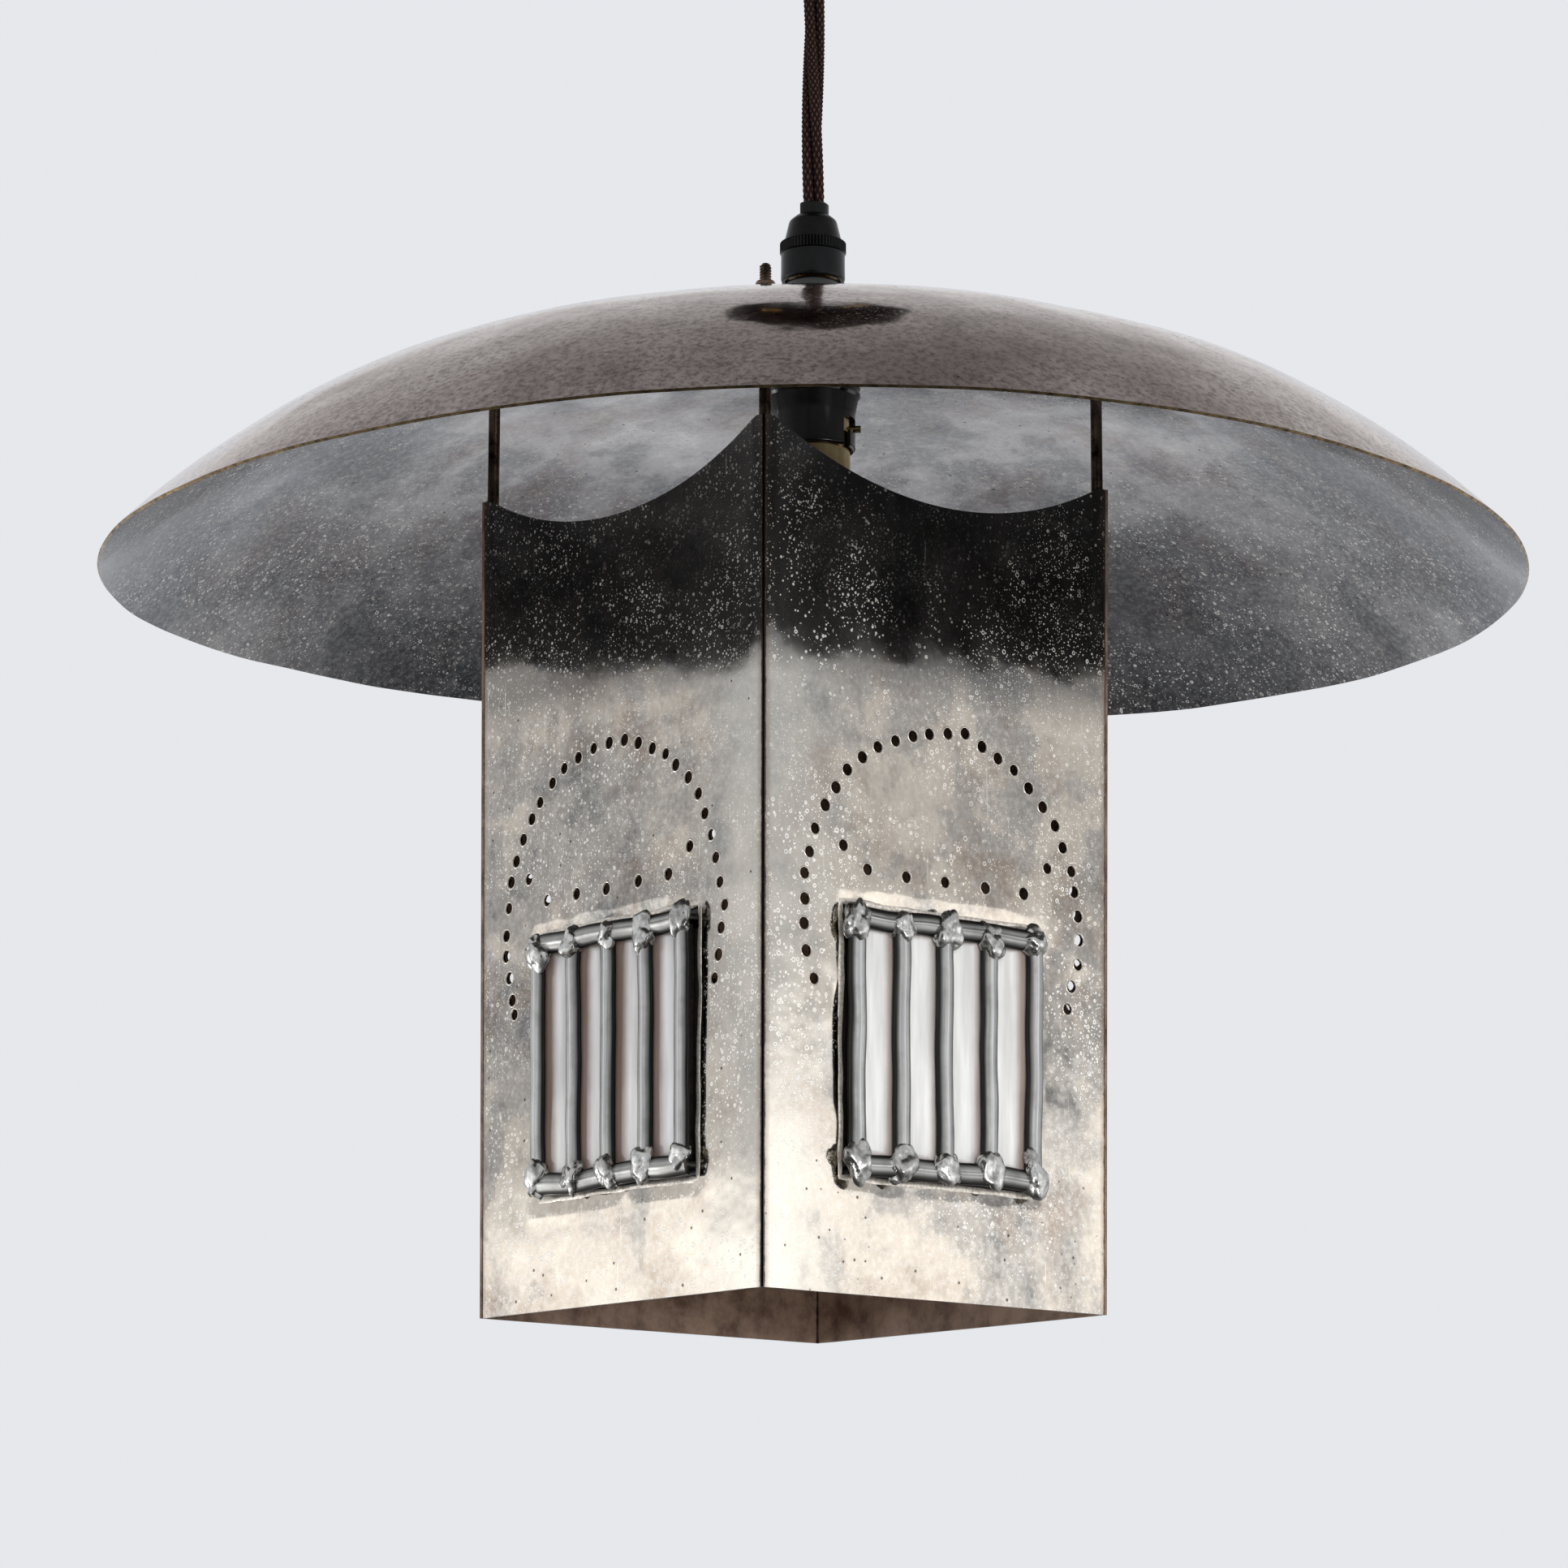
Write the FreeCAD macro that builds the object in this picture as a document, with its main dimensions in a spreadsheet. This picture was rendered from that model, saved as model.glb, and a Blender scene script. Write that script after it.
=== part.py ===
import FreeCAD, Part
import math
import os
from types import SimpleNamespace

import Sketcher

# Hanging punched-metal lantern: a wide domed shade, a square open body with a punched arch and a
# leaded window in each face, a bayonet lampholder, and a short taut flex to a ceiling rose.
# Frame: +Z up, origin at the centre of the rose's back face, so that everything hangs below it.
# The faces look along -Y (front), +X (right), +Y (back) and -X (left).

DRIVING_SIZES = [
    # Ceiling rose and flex
    ("rose_radius", 38.0, "outer radius of the rose cover at the ceiling"),
    ("rose_depth", 30.0, "ceiling to the underside of the rose"),
    ("rose_wall", 2.2, "wall of the rose cover"),
    ("rose_foot_radius", 27.0, "radius of the rose's flat underside"),
    ("rose_lip_gap", 0.4, "rose cover's rim below the ceiling"),
    ("rose_exit_radius", 4.6, "hole that the flex leaves by"),
    ("backplate_thickness", 3.0, "rose backplate"),
    ("fixing_spacing", 51.0, "between the two fixing holes in the backplate"),
    ("fixing_hole_radius", 2.2, "fixing hole in the backplate"),
    ("block_radius", 15.0, "rose terminal block"),
    ("block_height", 11.0, "rose terminal block"),
    ("rose_screw_radius", 1.9, "screw through the rose cover into its backplate"),
    ("rose_screw_head_radius", 3.4, "head of that screw"),
    ("rose_screw_head", 1.3, "head of that screw"),
    ("rose_screw_reach", 20.0, "rose cover screws from the axis"),
    ("terminal_screw_radius", 1.6, "brass terminal screws"),
    ("terminal_screw_height", 2.2, "brass terminal screw heads"),
    ("flex_radius", 3.3, "round the three twisted cores of the flex"),
    ("flex_length", 84.8, "between the two points that the flex bends at"),
    ("core_radius", 1.1, "one core of the flex inside the lampholder"),
    ("core_offset", 2.0, "core inside the lampholder from the axis"),
    # Cord grip
    ("grip_radius", 9.5, "cup of the cord grip"),
    ("grip_cup_height", 8.4, "cup of the cord grip"),
    ("grip_wall", 1.2, "wall of the cup"),
    ("grip_web", 1.8, "top web of the cup"),
    ("knurl_radius", 9.8, "knurled ring of the cone"),
    ("knurl_height", 3.5, "knurled ring of the cone"),
    ("cone_foot_radius", 8.5, "foot of the cone above the knurled ring"),
    ("cone_top_radius", 7.0, "top of the cone below its round shoulder"),
    ("cone_height", 6.6, "straight part of the cone"),
    ("cone_shoulder_height", 1.8, "round shoulder of the cone"),
    ("cone_mouth_radius", 4.7, "mouth that the flex and the jaw come out of"),
    ("jaw_stand", 3.5, "clamp jaw above the cone"),
    ("jaw_depth", 11.0, "clamp jaw inside the cone"),
    ("jaw_clearance", 0.4, "jaw's inner face to the flex"),
    ("nipple_radius", 5.0, "hollow brass nipple, M10"),
    ("nipple_bore_radius", 3.9, "bore of the nipple"),
    ("nipple_reach", 6.5, "nipple inside the cup"),
    ("nipple_depth", 5.0, "nipple inside the lampholder cap"),
    # Shade
    ("shade_radius", 207.0, "rim of the shade"),
    ("shade_sheet", 0.9, "sheet of the shade"),
    ("crown_radius", 600.0, "curve of the flatter crown"),
    ("shoulder_radius", 211.0, "curve of the shoulder down to the rim"),
    ("shade_hole_radius", 14.6, "centre hole that the lampholder passes"),
    ("shade_to_grip", 22.7, "top of the shade to the underside of the cord grip"),
    # Square body
    ("side", 128.0, "width of the body across two faces"),
    ("body_height", 240.0, "bottom edge to the corner tips"),
    ("body_sheet", 0.9, "sheet of the body"),
    ("tip_above_rim", 25.9, "corner tips above the plane of the shade's rim"),
    ("tip_flat", 3.5, "flat tip at each corner of the body"),
    ("scallop_sag", 16.0, "scooped top edge below the corner tips"),
    ("body_offset_x", -3.6, "body's centre from the shade's, as hand-set"),
    ("body_offset_y", -4.3, "body's centre from the shade's, as hand-set"),
    ("arch_shift", 1.4, "arch from the middle of the face, as hand-punched"),
    ("row_shift", 3.0, "row from the middle of the face, as hand-punched"),
    ("seam_leg", 1.6, "solder seam inside a corner"),
    # Punched pattern
    ("punch_radius", 1.72, "punched hole"),
    ("arch_radius", 50.3, "outer arch of holes"),
    ("arch_centre", 107.7, "centre of the arch above the bottom edge"),
    ("row_rise", 10.0, "row of holes above the window"),
    ("row_pitch", 14.0, "between the holes of the row"),
    ("row_end_reach", 37.0, "end holes of the row from its middle"),
    ("row_end_rise", 7.1, "end holes of the row above the row"),
    # Leaded window
    ("window_width", 72.0, "opening in the sheet"),
    ("window_height", 75.0, "opening in the sheet"),
    ("window_sill", 31.7, "opening above the bottom edge"),
    ("window_gap", 0.35, "lead frame inside the opening"),
    ("came_width", 6.2, "face of a lead came"),
    ("came_flange", 1.7, "thickness of a came's face"),
    ("came_heart", 1.6, "web between a came's two faces"),
    ("came_channel", 5.4, "between a came's two faces"),
    ("came_proud", 6.4, "front face of the cames outside the sheet"),
    ("came_bevel", 1.1, "bevel along a came's edges"),
    ("glass_thickness", 3.2, "opal glass strip"),
    ("glass_back_gap", 0.2, "glass to the inside of a came's back face"),
    ("glass_gap", 0.3, "glass to the heart of a came"),
    ("solder_radius", 4.3, "solder on a joint of the cames"),
    ("solder_height", 1.5, "solder above the cames"),
    # Corner rods
    ("rod_radius", 1.7, "corner rod"),
    ("rod_lap", 52.0, "rod inside the corner below its tip"),
    ("rod_above_nut", 5.6, "rod above its upper nut"),
    ("rod_hole_clearance", 0.2, "rod in the hole of the shade"),
    ("nut_radius", 3.45, "thin domed nut"),
    ("nut_edge", 0.5, "thickness of a nut at its edge"),
    ("nut_height", 1.4, "nut at its middle"),
    # Lampholder
    ("cap_radius", 18.0, "lampholder cap above the shade"),
    ("cap_skirt", 9.0, "straight part of the lampholder cap"),
    ("cap_top_radius", 7.6, "top face of the lampholder cap"),
    ("cap_wall", 2.0, "wall of the lampholder cap"),
    ("thread_radius", 14.0, "shade thread of the lampholder"),
    ("thread_below_rim_top", 12.5, "shade thread below the top of the shade"),
    ("thread_above_shade", 8.0, "shade thread inside the cap"),
    ("barrel_radius", 12.5, "lower sleeve of the lampholder"),
    ("barrel_taper", 5.5, "taper between the thread and the sleeve"),
    ("barrel_bore_radius", 11.35, "bore for a 22 mm bayonet cap"),
    ("barrel_drop", 29.1, "mouth of the sleeve below the top of the shade"),
    ("shade_ring_radius", 18.5, "ring that clamps the shade"),
    ("shade_ring_height", 4.5, "ring that clamps the shade"),
    ("slot_width", 3.3, "way in of a bayonet slot"),
    ("block_seat", 8.0, "underside of the contact block below the top of the shade"),
    ("contact_block_height", 18.0, "contact block"),
    ("contact_block_radius", 12.4, "contact block"),
    ("contact_spread", 5.5, "contacts from the axis"),
    ("plunger_radius", 2.3, "spring plunger"),
    ("plunger_clearance", 0.06, "plunger in its bore"),
    ("plunger_hold", 6.0, "plunger inside the contact block"),
    ("spring_length", 6.0, "plunger spring"),
    ("spring_wall", 0.8, "plunger spring coil"),
    # Lamp
    ("lamp_cap_radius", 11.0, "B22 bayonet cap"),
    ("lamp_cap_height", 25.0, "B22 bayonet cap"),
    ("lamp_cap_wall", 0.5, "brass of the cap"),
    ("pin_radius", 1.05, "bayonet pin"),
    ("pin_reach", 14.2, "tip of a bayonet pin from the axis"),
    ("pin_below_contact", 6.9, "bayonet pin below the top of the lamp"),
    ("pin_clearance", 0.1, "bayonet pin in its slot"),
    ("push_travel", 1.5, "lamp pushed up against its plungers"),
    ("lamp_drop", 15.7, "top of the lamp below the top of the shade"),
    ("contact_radius", 2.4, "solder contact on the lamp"),
    ("contact_height", 0.5, "solder contact on the lamp"),
    ("insulator_height", 3.0, "glass insulator in the lamp's cap"),
    ("bulb_radius", 30.0, "round part of the glass"),
    ("bulb_neck_radius", 10.3, "neck of the glass"),
    ("bulb_neck_curve", 45.0, "curve from the neck into the round part"),
    ("bulb_neck_straight", 5.0, "straight neck above that curve"),
    ("bulb_lap", 7.0, "neck of the glass inside the cap"),
    ("bulb_wall", 0.7, "glass"),
    ("stem_radius", 4.0, "glass stem"),
    ("stem_length", 42.0, "glass stem"),
    ("filament_radius", 12.0, "ring that the filament lies on"),
    ("wire_radius", 0.4, "filament and its supports"),
    # Fits
    ("seat_gap", 0.05, "between pieces that rest on each other"),
    ("bend_gap", 0.3, "round end of the flex to the held flex"),
    ("thread_clearance", 0.05, "male thread in its female thread"),
    ("fit_gap", 0.3, "loose fit"),
    ("overrun", 5.0, "how far a cutting shape runs past"),
]

# Counts and angles
PUNCHES_IN_ARCH = 31
ARCH_START_DEG = -26.2
PUNCHES_IN_ROW = 5
UPRIGHTS = 5
FACES = (("front", 0.0, -1.0), ("right", 90.0, 1.0), ("back", 180.0, -1.0), ("left", 270.0, 1.0))
CORNERS = (("front_left", -1.0, -1.0), ("front_right", 1.0, -1.0),
           ("back_right", 1.0, 1.0), ("back_left", -1.0, 1.0))
CROWN_EDGE_SHARE = 0.1417
JAW_SWEEP_DEG = 150.0
JAW_START_DEG = -95.0
PIN_DEG = 44.0
TWIST_DEG = 30.0


class Dim:
    """A size: its value in millimetres, and the text that a feature is bound with."""

    def __init__(self, text, value):
        self.text = text
        self.value = value

    def joined(self, sign, other, value, swapped=False):
        first, second = text_of(self), text_of(other)
        if swapped:
            first, second = second, first
        return Dim("(%s %s %s)" % (first, sign, second), value)

    def __add__(self, other):
        return self.joined("+", other, self.value + value_of(other))

    __radd__ = __add__

    def __sub__(self, other):
        return self.joined("-", other, self.value - value_of(other))

    def __rsub__(self, other):
        return self.joined("-", other, value_of(other) - self.value, swapped=True)

    def __mul__(self, other):
        return self.joined("*", other, self.value * value_of(other))

    __rmul__ = __mul__

    def __truediv__(self, other):
        return self.joined("/", other, self.value / value_of(other))

    def __neg__(self):
        return Dim("(0 - %s)" % self.text, -self.value)


def value_of(size):
    return size.value if isinstance(size, Dim) else float(size)


def text_of(size):
    return size.text if isinstance(size, Dim) else "%.12g" % size


def root(size):
    return Dim("sqrt(%s)" % size.text, math.sqrt(size.value))


def point(x, y):
    return FreeCAD.Vector(value_of(x), value_of(y), 0.0)


def make_sheet(doc):
    """Keep the driving sizes in a sheet and hand them back by name."""
    sheet = doc.addObject("Spreadsheet::Sheet", "Sizes")
    named = {}
    for row, (name, value, meaning) in enumerate(DRIVING_SIZES, start=1):
        sheet.set("A%d" % row, meaning)
        sheet.set("B%d" % row, repr(value))
        sheet.setAlias("B%d" % row, name)
        named[name] = Dim("Sizes.%s" % name, value)
    doc.recompute()
    return SimpleNamespace(**named)


document = FreeCAD.newDocument("hanging_lantern")
size = make_sheet(document)
nodes = []


def keep(part):
    nodes.append(part)
    return part


def new_body(label):
    body = document.addObject("PartDesign::Body", label)
    body.Label = label
    return body


def origin_part(body, role):
    return [part for part in body.Origin.OriginFeatures if part.Role == role][0]


def bind(thing, prop, expression):
    thing.setExpression(prop, text_of(expression))


def place(part, x=0.0, y=0.0, z=0.0, turn=0.0):
    """Put a sub-part where it belongs, its place bound to the sizes."""
    middle = FreeCAD.Vector(value_of(x), value_of(y), value_of(z))
    part.Placement = FreeCAD.Placement(middle, FreeCAD.Rotation(FreeCAD.Vector(0, 0, 1), turn))
    for letter, offset in (("x", x), ("y", y), ("z", z)):
        if isinstance(offset, Dim):
            bind(part, "Placement.Base.%s" % letter, offset)
    return part


def new_sketch(body, role):
    sketch = body.newObject("Sketcher::SketchObject", "%s_sketch" % body.Name)
    sketch.AttachmentSupport = (origin_part(body, role), [""])
    sketch.MapMode = "FlatFace"
    return sketch


def pin_point(sketch, geometry, end, x, y):
    """Hold one point of a sketch at a bound place."""
    for kind, offset in (("DistanceX", x), ("DistanceY", y)):
        index = sketch.addConstraint(
            Sketcher.Constraint(kind, -1, 1, geometry, end, value_of(offset)))
        if isinstance(offset, Dim):
            bind(sketch, "Constraints[%d]" % index, offset)


def draw_outline(sketch, corners):
    """Close an outline; a corner is (x, y), or (x, y, radius, turn) where an arc leaves it.

    turn is +1 for an arc that bulges to the right of its way on, and -1 for one to the left.
    """
    first = sketch.GeometryCount
    count = len(corners)
    for number, corner in enumerate(corners):
        start = point(corner[0], corner[1])
        after = corners[(number + 1) % count]
        end = point(after[0], after[1])
        if len(corner) == 2:
            sketch.addGeometry(Part.LineSegment(start, end), False)
            continue
        radius, turn = corner[2], corner[3]
        chord = end - start
        half = chord.Length / 2.0
        rise = value_of(radius) - math.sqrt(max(value_of(radius) ** 2 - half ** 2, 0.0))
        right = FreeCAD.Vector(chord.y, -chord.x, 0.0).normalize()
        middle = (start + end) * 0.5 + right * (rise * turn)
        sketch.addGeometry(Part.Arc(start, middle, end), False)
    for number, corner in enumerate(corners):
        geometry = first + number
        after = first + (number + 1) % count
        is_arc = len(corner) == 4
        backwards = is_arc and corner[3] < 0
        start_end = 2 if backwards else 1
        finish_end = 1 if backwards else 2
        next_corner = corners[(number + 1) % count]
        next_start = 2 if len(next_corner) == 4 and next_corner[3] < 0 else 1
        sketch.addConstraint(
            Sketcher.Constraint("Coincident", geometry, finish_end, after, next_start))
        pin_point(sketch, geometry, start_end, corner[0], corner[1])
        if is_arc:
            index = sketch.addConstraint(
                Sketcher.Constraint("Radius", geometry, value_of(corner[2])))
            bind(sketch, "Constraints[%d]" % index, corner[2])


def draw_circle(sketch, x, y, radius):
    circle = Part.Circle(point(x, y), FreeCAD.Vector(0, 0, 1), value_of(radius))
    geometry = sketch.addGeometry(circle, False)
    pin_point(sketch, geometry, 3, x, y)
    index = sketch.addConstraint(Sketcher.Constraint("Radius", geometry, value_of(radius)))
    bind(sketch, "Constraints[%d]" % index, radius)


def box_corners(left, right, low, high):
    return [(left, low), (right, low), (right, high), (left, high)]


def revolve(body, corners, sweep=360.0):
    """Turn an outline of (radius, height) corners about the body's Z axis."""
    sketch = new_sketch(body, "XZ_Plane")
    draw_outline(sketch, corners)
    turned = body.newObject("PartDesign::Revolution", "%s_turned" % body.Name)
    turned.Profile = sketch
    turned.ReferenceAxis = (sketch, ["V_Axis"])
    turned.Angle = sweep
    return turned


def turned_part(label, corners, x=0.0, y=0.0, z=0.0, turn=0.0, sweep=360.0):
    body = new_body(label)
    revolve(body, corners, sweep)
    return keep(place(body, x, y, z, turn))


def pad(body, sketch, length, middle=False):
    raised = body.newObject("PartDesign::Pad", "%s_pad" % body.Name)
    raised.Profile = sketch
    bind(raised, "Length", length)
    if middle:
        raised.SideType = "Symmetric"
    return raised


def cut_through(body, sketch):
    """Cut an outline right through the body, on both sides of its plane."""
    hole = body.newObject("PartDesign::Pocket", "%s_cut" % body.Name)
    hole.Profile = sketch
    hole.Type = "ThroughAll"
    hole.SideType = "Symmetric"
    return hole


def repeat(body, feature, sketch, axis, span, count):
    """Repeat a feature along a line of its sketch."""
    row = body.newObject("PartDesign::LinearPattern", "%s_row" % body.Name)
    row.Originals = [feature]
    row.Direction = (sketch, [axis])
    bind(row, "Length", span)
    row.Occurrences = count
    body.Tip = row
    return row


def group(label, bodies, x=0.0, y=0.0, z=0.0, turn=0.0):
    """Join like pieces in one node, each still a solid of its own."""
    together = document.addObject("Part::Compound", label)
    together.Label = label
    together.Links = bodies
    return keep(place(together, x, y, z, turn))


# Heights, all from the ceiling down
rose_underside = -size.rose_depth
flex_foot = rose_underside - size.flex_length
cone_mouth = flex_foot - (size.flex_radius + size.bend_gap) - size.fit_gap
knurl_top = cone_mouth - size.cone_shoulder_height - size.cone_height
knurl_foot = knurl_top - size.knurl_height
grip_foot = knurl_foot - size.grip_cup_height
shade_top = grip_foot - size.shade_to_grip
lamp_top = shade_top - size.lamp_drop
pin_height = lamp_top - size.pin_below_contact

# Curve of the shade: a flat crown that runs into a rounder shoulder
curve_difference = size.crown_radius - size.shoulder_radius
crown_edge_cos = math.sqrt(1.0 - CROWN_EDGE_SHARE ** 2)
shoulder_x = curve_difference * CROWN_EDGE_SHARE
crown_middle = -size.crown_radius
shoulder_z = crown_middle + curve_difference * crown_edge_cos
rim_z = shoulder_z + root(size.shoulder_radius * size.shoulder_radius
                          - (size.shade_radius - shoulder_x) * (size.shade_radius - shoulder_x))
rim_height = shade_top + rim_z
body_foot = rim_height + size.tip_above_rim - size.body_height


def crown_z(radius, inset=0.0):
    """Height of the crown's surface under the shade's top, inset into the sheet."""
    curve = size.crown_radius - inset
    return crown_middle + root(curve * curve - radius * radius)


def shoulder_surface(radius, inset=0.0):
    curve = size.shoulder_radius - inset
    across = radius - shoulder_x
    return shoulder_z + root(curve * curve - across * across)


def corner_place(sign_x, sign_y):
    """Centre of a corner rod, tangent to both sheets."""
    reach = size.side / 2 - size.body_sheet - size.rod_radius
    return size.body_offset_x + reach * sign_x, size.body_offset_y + reach * sign_y


def distance(x, y):
    return root(x * x + y * y)


def make_rose():
    """Cover, backplate, terminal block and screws on the ceiling."""
    outer, wall = size.rose_radius, size.rose_wall
    foot = rose_underside
    rim = -size.rose_lip_gap
    cover = new_body("rose_cover")
    revolve(cover, [
        (outer, rim),
        (outer - wall, rim),
        (outer - wall, foot + wall + (outer - size.rose_foot_radius)),
        (size.rose_foot_radius - wall, foot + wall),
        (size.rose_exit_radius, foot + wall),
        (size.rose_exit_radius, foot),
        (size.rose_foot_radius, foot, outer - size.rose_foot_radius, 1),
        (outer, foot + (outer - size.rose_foot_radius)),
    ])
    holes = new_sketch(cover, "XY_Plane")
    for side in (-1.0, 1.0):
        draw_circle(holes, 0.0, size.rose_screw_reach * side,
                    size.rose_screw_radius + size.fit_gap)
    cut_through(cover, holes)
    keep(cover)
    plate = new_body("rose_backplate")
    sketch = new_sketch(plate, "XY_Plane")
    draw_circle(sketch, 0.0, 0.0, outer - wall - size.fit_gap)
    for side in (-0.5, 0.5):
        draw_circle(sketch, size.fixing_spacing * side, 0.0, size.fixing_hole_radius)
    pad(plate, sketch, size.backplate_thickness)
    keep(place(plate, z=-size.backplate_thickness))

    block = new_body("rose_terminal_block")
    sketch = new_sketch(block, "XY_Plane")
    draw_circle(sketch, 0.0, 0.0, size.block_radius)
    pad(block, sketch, size.block_height)
    keep(place(block, z=-size.backplate_thickness - size.block_height))

    screws = []
    for number in range(3):
        angle = math.radians(120.0 * number + 90.0)
        screw = new_body("rose_terminal_screw_%d" % number)
        revolve(screw, [(0.0, 0.0), (size.terminal_screw_radius, 0.0),
                        (size.terminal_screw_radius, size.terminal_screw_height),
                        (0.0, size.terminal_screw_height)])
        reach = size.block_radius / 2
        place(screw, reach * math.cos(angle), reach * math.sin(angle),
              -size.backplate_thickness - size.block_height - size.terminal_screw_height)
        screws.append(screw)
    group("rose_terminal_screws", screws)

    screws = []
    for name, side in (("near", -1.0), ("far", 1.0)):
        screw = new_body("rose_screw_%s" % name)
        revolve(screw, [(0.0, foot - size.rose_screw_head),
                        (size.rose_screw_radius, foot - size.rose_screw_head),
                        (size.rose_screw_head_radius, foot),
                        (size.rose_screw_radius, foot),
                        (size.rose_screw_radius, -size.backplate_thickness),
                        (0.0, -size.backplate_thickness)])
        place(screw, y=size.rose_screw_reach * side)
        screws.append(screw)
    group("rose_cover_screws", screws)

    tail_top = -size.backplate_thickness - size.block_height - size.seat_gap
    tail_foot = foot + size.flex_radius + size.bend_gap
    turned_part("rose_flex_end", [(0.0, tail_foot), (size.flex_radius, tail_foot),
                                  (size.flex_radius, tail_top), (0.0, tail_top)])


def make_flex():
    """Taut run of flex, round at both ends, where it bends."""
    radius = size.flex_radius
    turned_part("flex_cord", [
        (0.0, flex_foot - radius, radius, 1),
        (radius, flex_foot),
        (radius, rose_underside, radius, 1),
        (0.0, rose_underside + radius),
    ])


def make_cord_grip():
    """Cup with its brass insert, knurled cone, clamp jaw and the flex that they hold."""
    radius, wall = size.grip_radius, size.grip_wall
    insert_radius = radius - wall - size.seat_gap
    flex_hole = size.flex_radius + size.fit_gap
    turned_part("grip_cup", [
        (radius - wall, grip_foot),
        (radius, grip_foot),
        (radius, knurl_foot),
        (flex_hole, knurl_foot),
        (flex_hole, knurl_foot - size.grip_web),
        (radius - wall, knurl_foot - size.grip_web),
    ])
    insert_top = knurl_foot - size.grip_web - size.seat_gap
    bore = size.nipple_radius + size.thread_clearance
    turned_part("grip_insert", [
        (bore, grip_foot + size.grip_wall), (insert_radius, grip_foot + size.grip_wall),
        (insert_radius, insert_top), (bore, insert_top),
    ])
    mouth = size.cone_mouth_radius
    shoulder_foot = cone_mouth - size.cone_shoulder_height
    turned_part("grip_cone", [
        (mouth + size.fit_gap, knurl_foot + size.seat_gap),
        (size.knurl_radius, knurl_foot + size.seat_gap),
        (size.knurl_radius, knurl_top - size.grip_wall),
        (size.knurl_radius - size.grip_wall, knurl_top),
        (size.cone_foot_radius, knurl_top),
        (size.cone_top_radius, shoulder_foot,
         size.cone_top_radius - mouth, 1),
        (mouth + size.seat_gap, cone_mouth),
        (mouth + size.seat_gap, shoulder_foot),
    ])
    inner = size.flex_radius + size.jaw_clearance
    jaw_foot = cone_mouth - size.jaw_depth
    jaw_top = cone_mouth + size.jaw_stand
    turned_part("grip_jaw", [
        (inner, jaw_foot), (mouth, jaw_foot), (mouth, jaw_top - size.jaw_clearance),
        (mouth - size.jaw_clearance, jaw_top), (inner, jaw_top),
    ], turn=JAW_START_DEG, sweep=JAW_SWEEP_DEG)
    held_top = flex_foot - size.flex_radius - size.bend_gap
    held_foot = grip_foot + size.grip_wall * 2
    turned_part("grip_flex_end", [
        (0.0, held_foot), (size.flex_radius, held_foot),
        (size.flex_radius, held_top), (0.0, held_top),
    ])


def make_shade():
    """Domed shade with the lampholder's hole and four rod holes."""
    sheet = size.shade_sheet
    edge = size.crown_radius * CROWN_EDGE_SHARE
    edge_z = crown_middle + size.crown_radius * crown_edge_cos
    inner_edge = (size.crown_radius - sheet) * CROWN_EDGE_SHARE
    inner_edge_z = crown_middle + (size.crown_radius - sheet) * crown_edge_cos
    inner_share = (size.shoulder_radius - sheet) / size.shoulder_radius
    rim_x = shoulder_x + (size.shade_radius - shoulder_x) * inner_share
    inner_rim_z = shoulder_z + (rim_z - shoulder_z) * inner_share
    hole = size.shade_hole_radius
    body = new_body("shade")
    revolve(body, [
        (hole, crown_z(hole), size.crown_radius, -1),
        (edge, edge_z, size.shoulder_radius, -1),
        (size.shade_radius, rim_z),
        (rim_x, inner_rim_z, size.shoulder_radius - sheet, 1),
        (inner_edge, inner_edge_z, size.crown_radius - sheet, 1),
        (hole, crown_z(hole, sheet)),
    ])
    document.recompute()
    sketch = new_sketch(body, "XY_Plane")
    for _, sign_x, sign_y in CORNERS:
        x, y = corner_place(sign_x, sign_y)
        draw_circle(sketch, x, y, size.rod_radius + size.rod_hole_clearance)
    cut_through(body, sketch)
    keep(place(body, z=shade_top))


def punch_places(hand):
    """Centres of a face's holes: an arch, a row under it, and the row's raised ends."""
    places = []
    sweep = 180.0 - 2.0 * ARCH_START_DEG
    for number in range(PUNCHES_IN_ARCH):
        angle = math.radians(ARCH_START_DEG + sweep * number / (PUNCHES_IN_ARCH - 1))
        places.append((size.arch_shift * hand + size.arch_radius * math.cos(angle),
                       size.arch_centre + size.arch_radius * math.sin(angle)))
    middle = size.row_shift * hand
    row = size.window_sill + size.window_height + size.row_rise
    for number in range(PUNCHES_IN_ROW):
        across = size.row_pitch * (number - (PUNCHES_IN_ROW - 1) / 2.0)
        places.append((middle + across, row))
    for side in (-1.0, 1.0):
        places.append((middle + size.row_end_reach * side, row + size.row_end_rise))
    return places


def make_panel(face, turn, hand):
    """One face of the body: mitred sheet, scooped top, window and punched holes."""
    half = size.side / 2
    sheet = size.body_sheet
    panel = new_body("panel_%s" % face)
    outline = new_sketch(panel, "XY_Plane")
    draw_outline(outline, [(-half, -half), (half, -half),
                           (half - sheet, sheet - half), (sheet - half, sheet - half)])
    pad(panel, outline, size.body_height)
    cuts = new_sketch(panel, "XZ_Plane")
    tip = half - size.tip_flat
    sag = size.scallop_sag
    scoop = (tip * tip + sag * sag) / (sag * 2)
    top = size.body_height
    draw_outline(cuts, [(-tip, top, scoop, 1), (tip, top),
                        (tip, top + size.overrun), (-tip, top + size.overrun)])
    draw_outline(cuts, box_corners(-size.window_width / 2, size.window_width / 2,
                                   size.window_sill, size.window_sill + size.window_height))
    for across, up in punch_places(hand):
        draw_circle(cuts, across, up, size.punch_radius)
    cut_through(panel, cuts)
    keep(place(panel, size.body_offset_x, size.body_offset_y, body_foot, turn))


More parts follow.
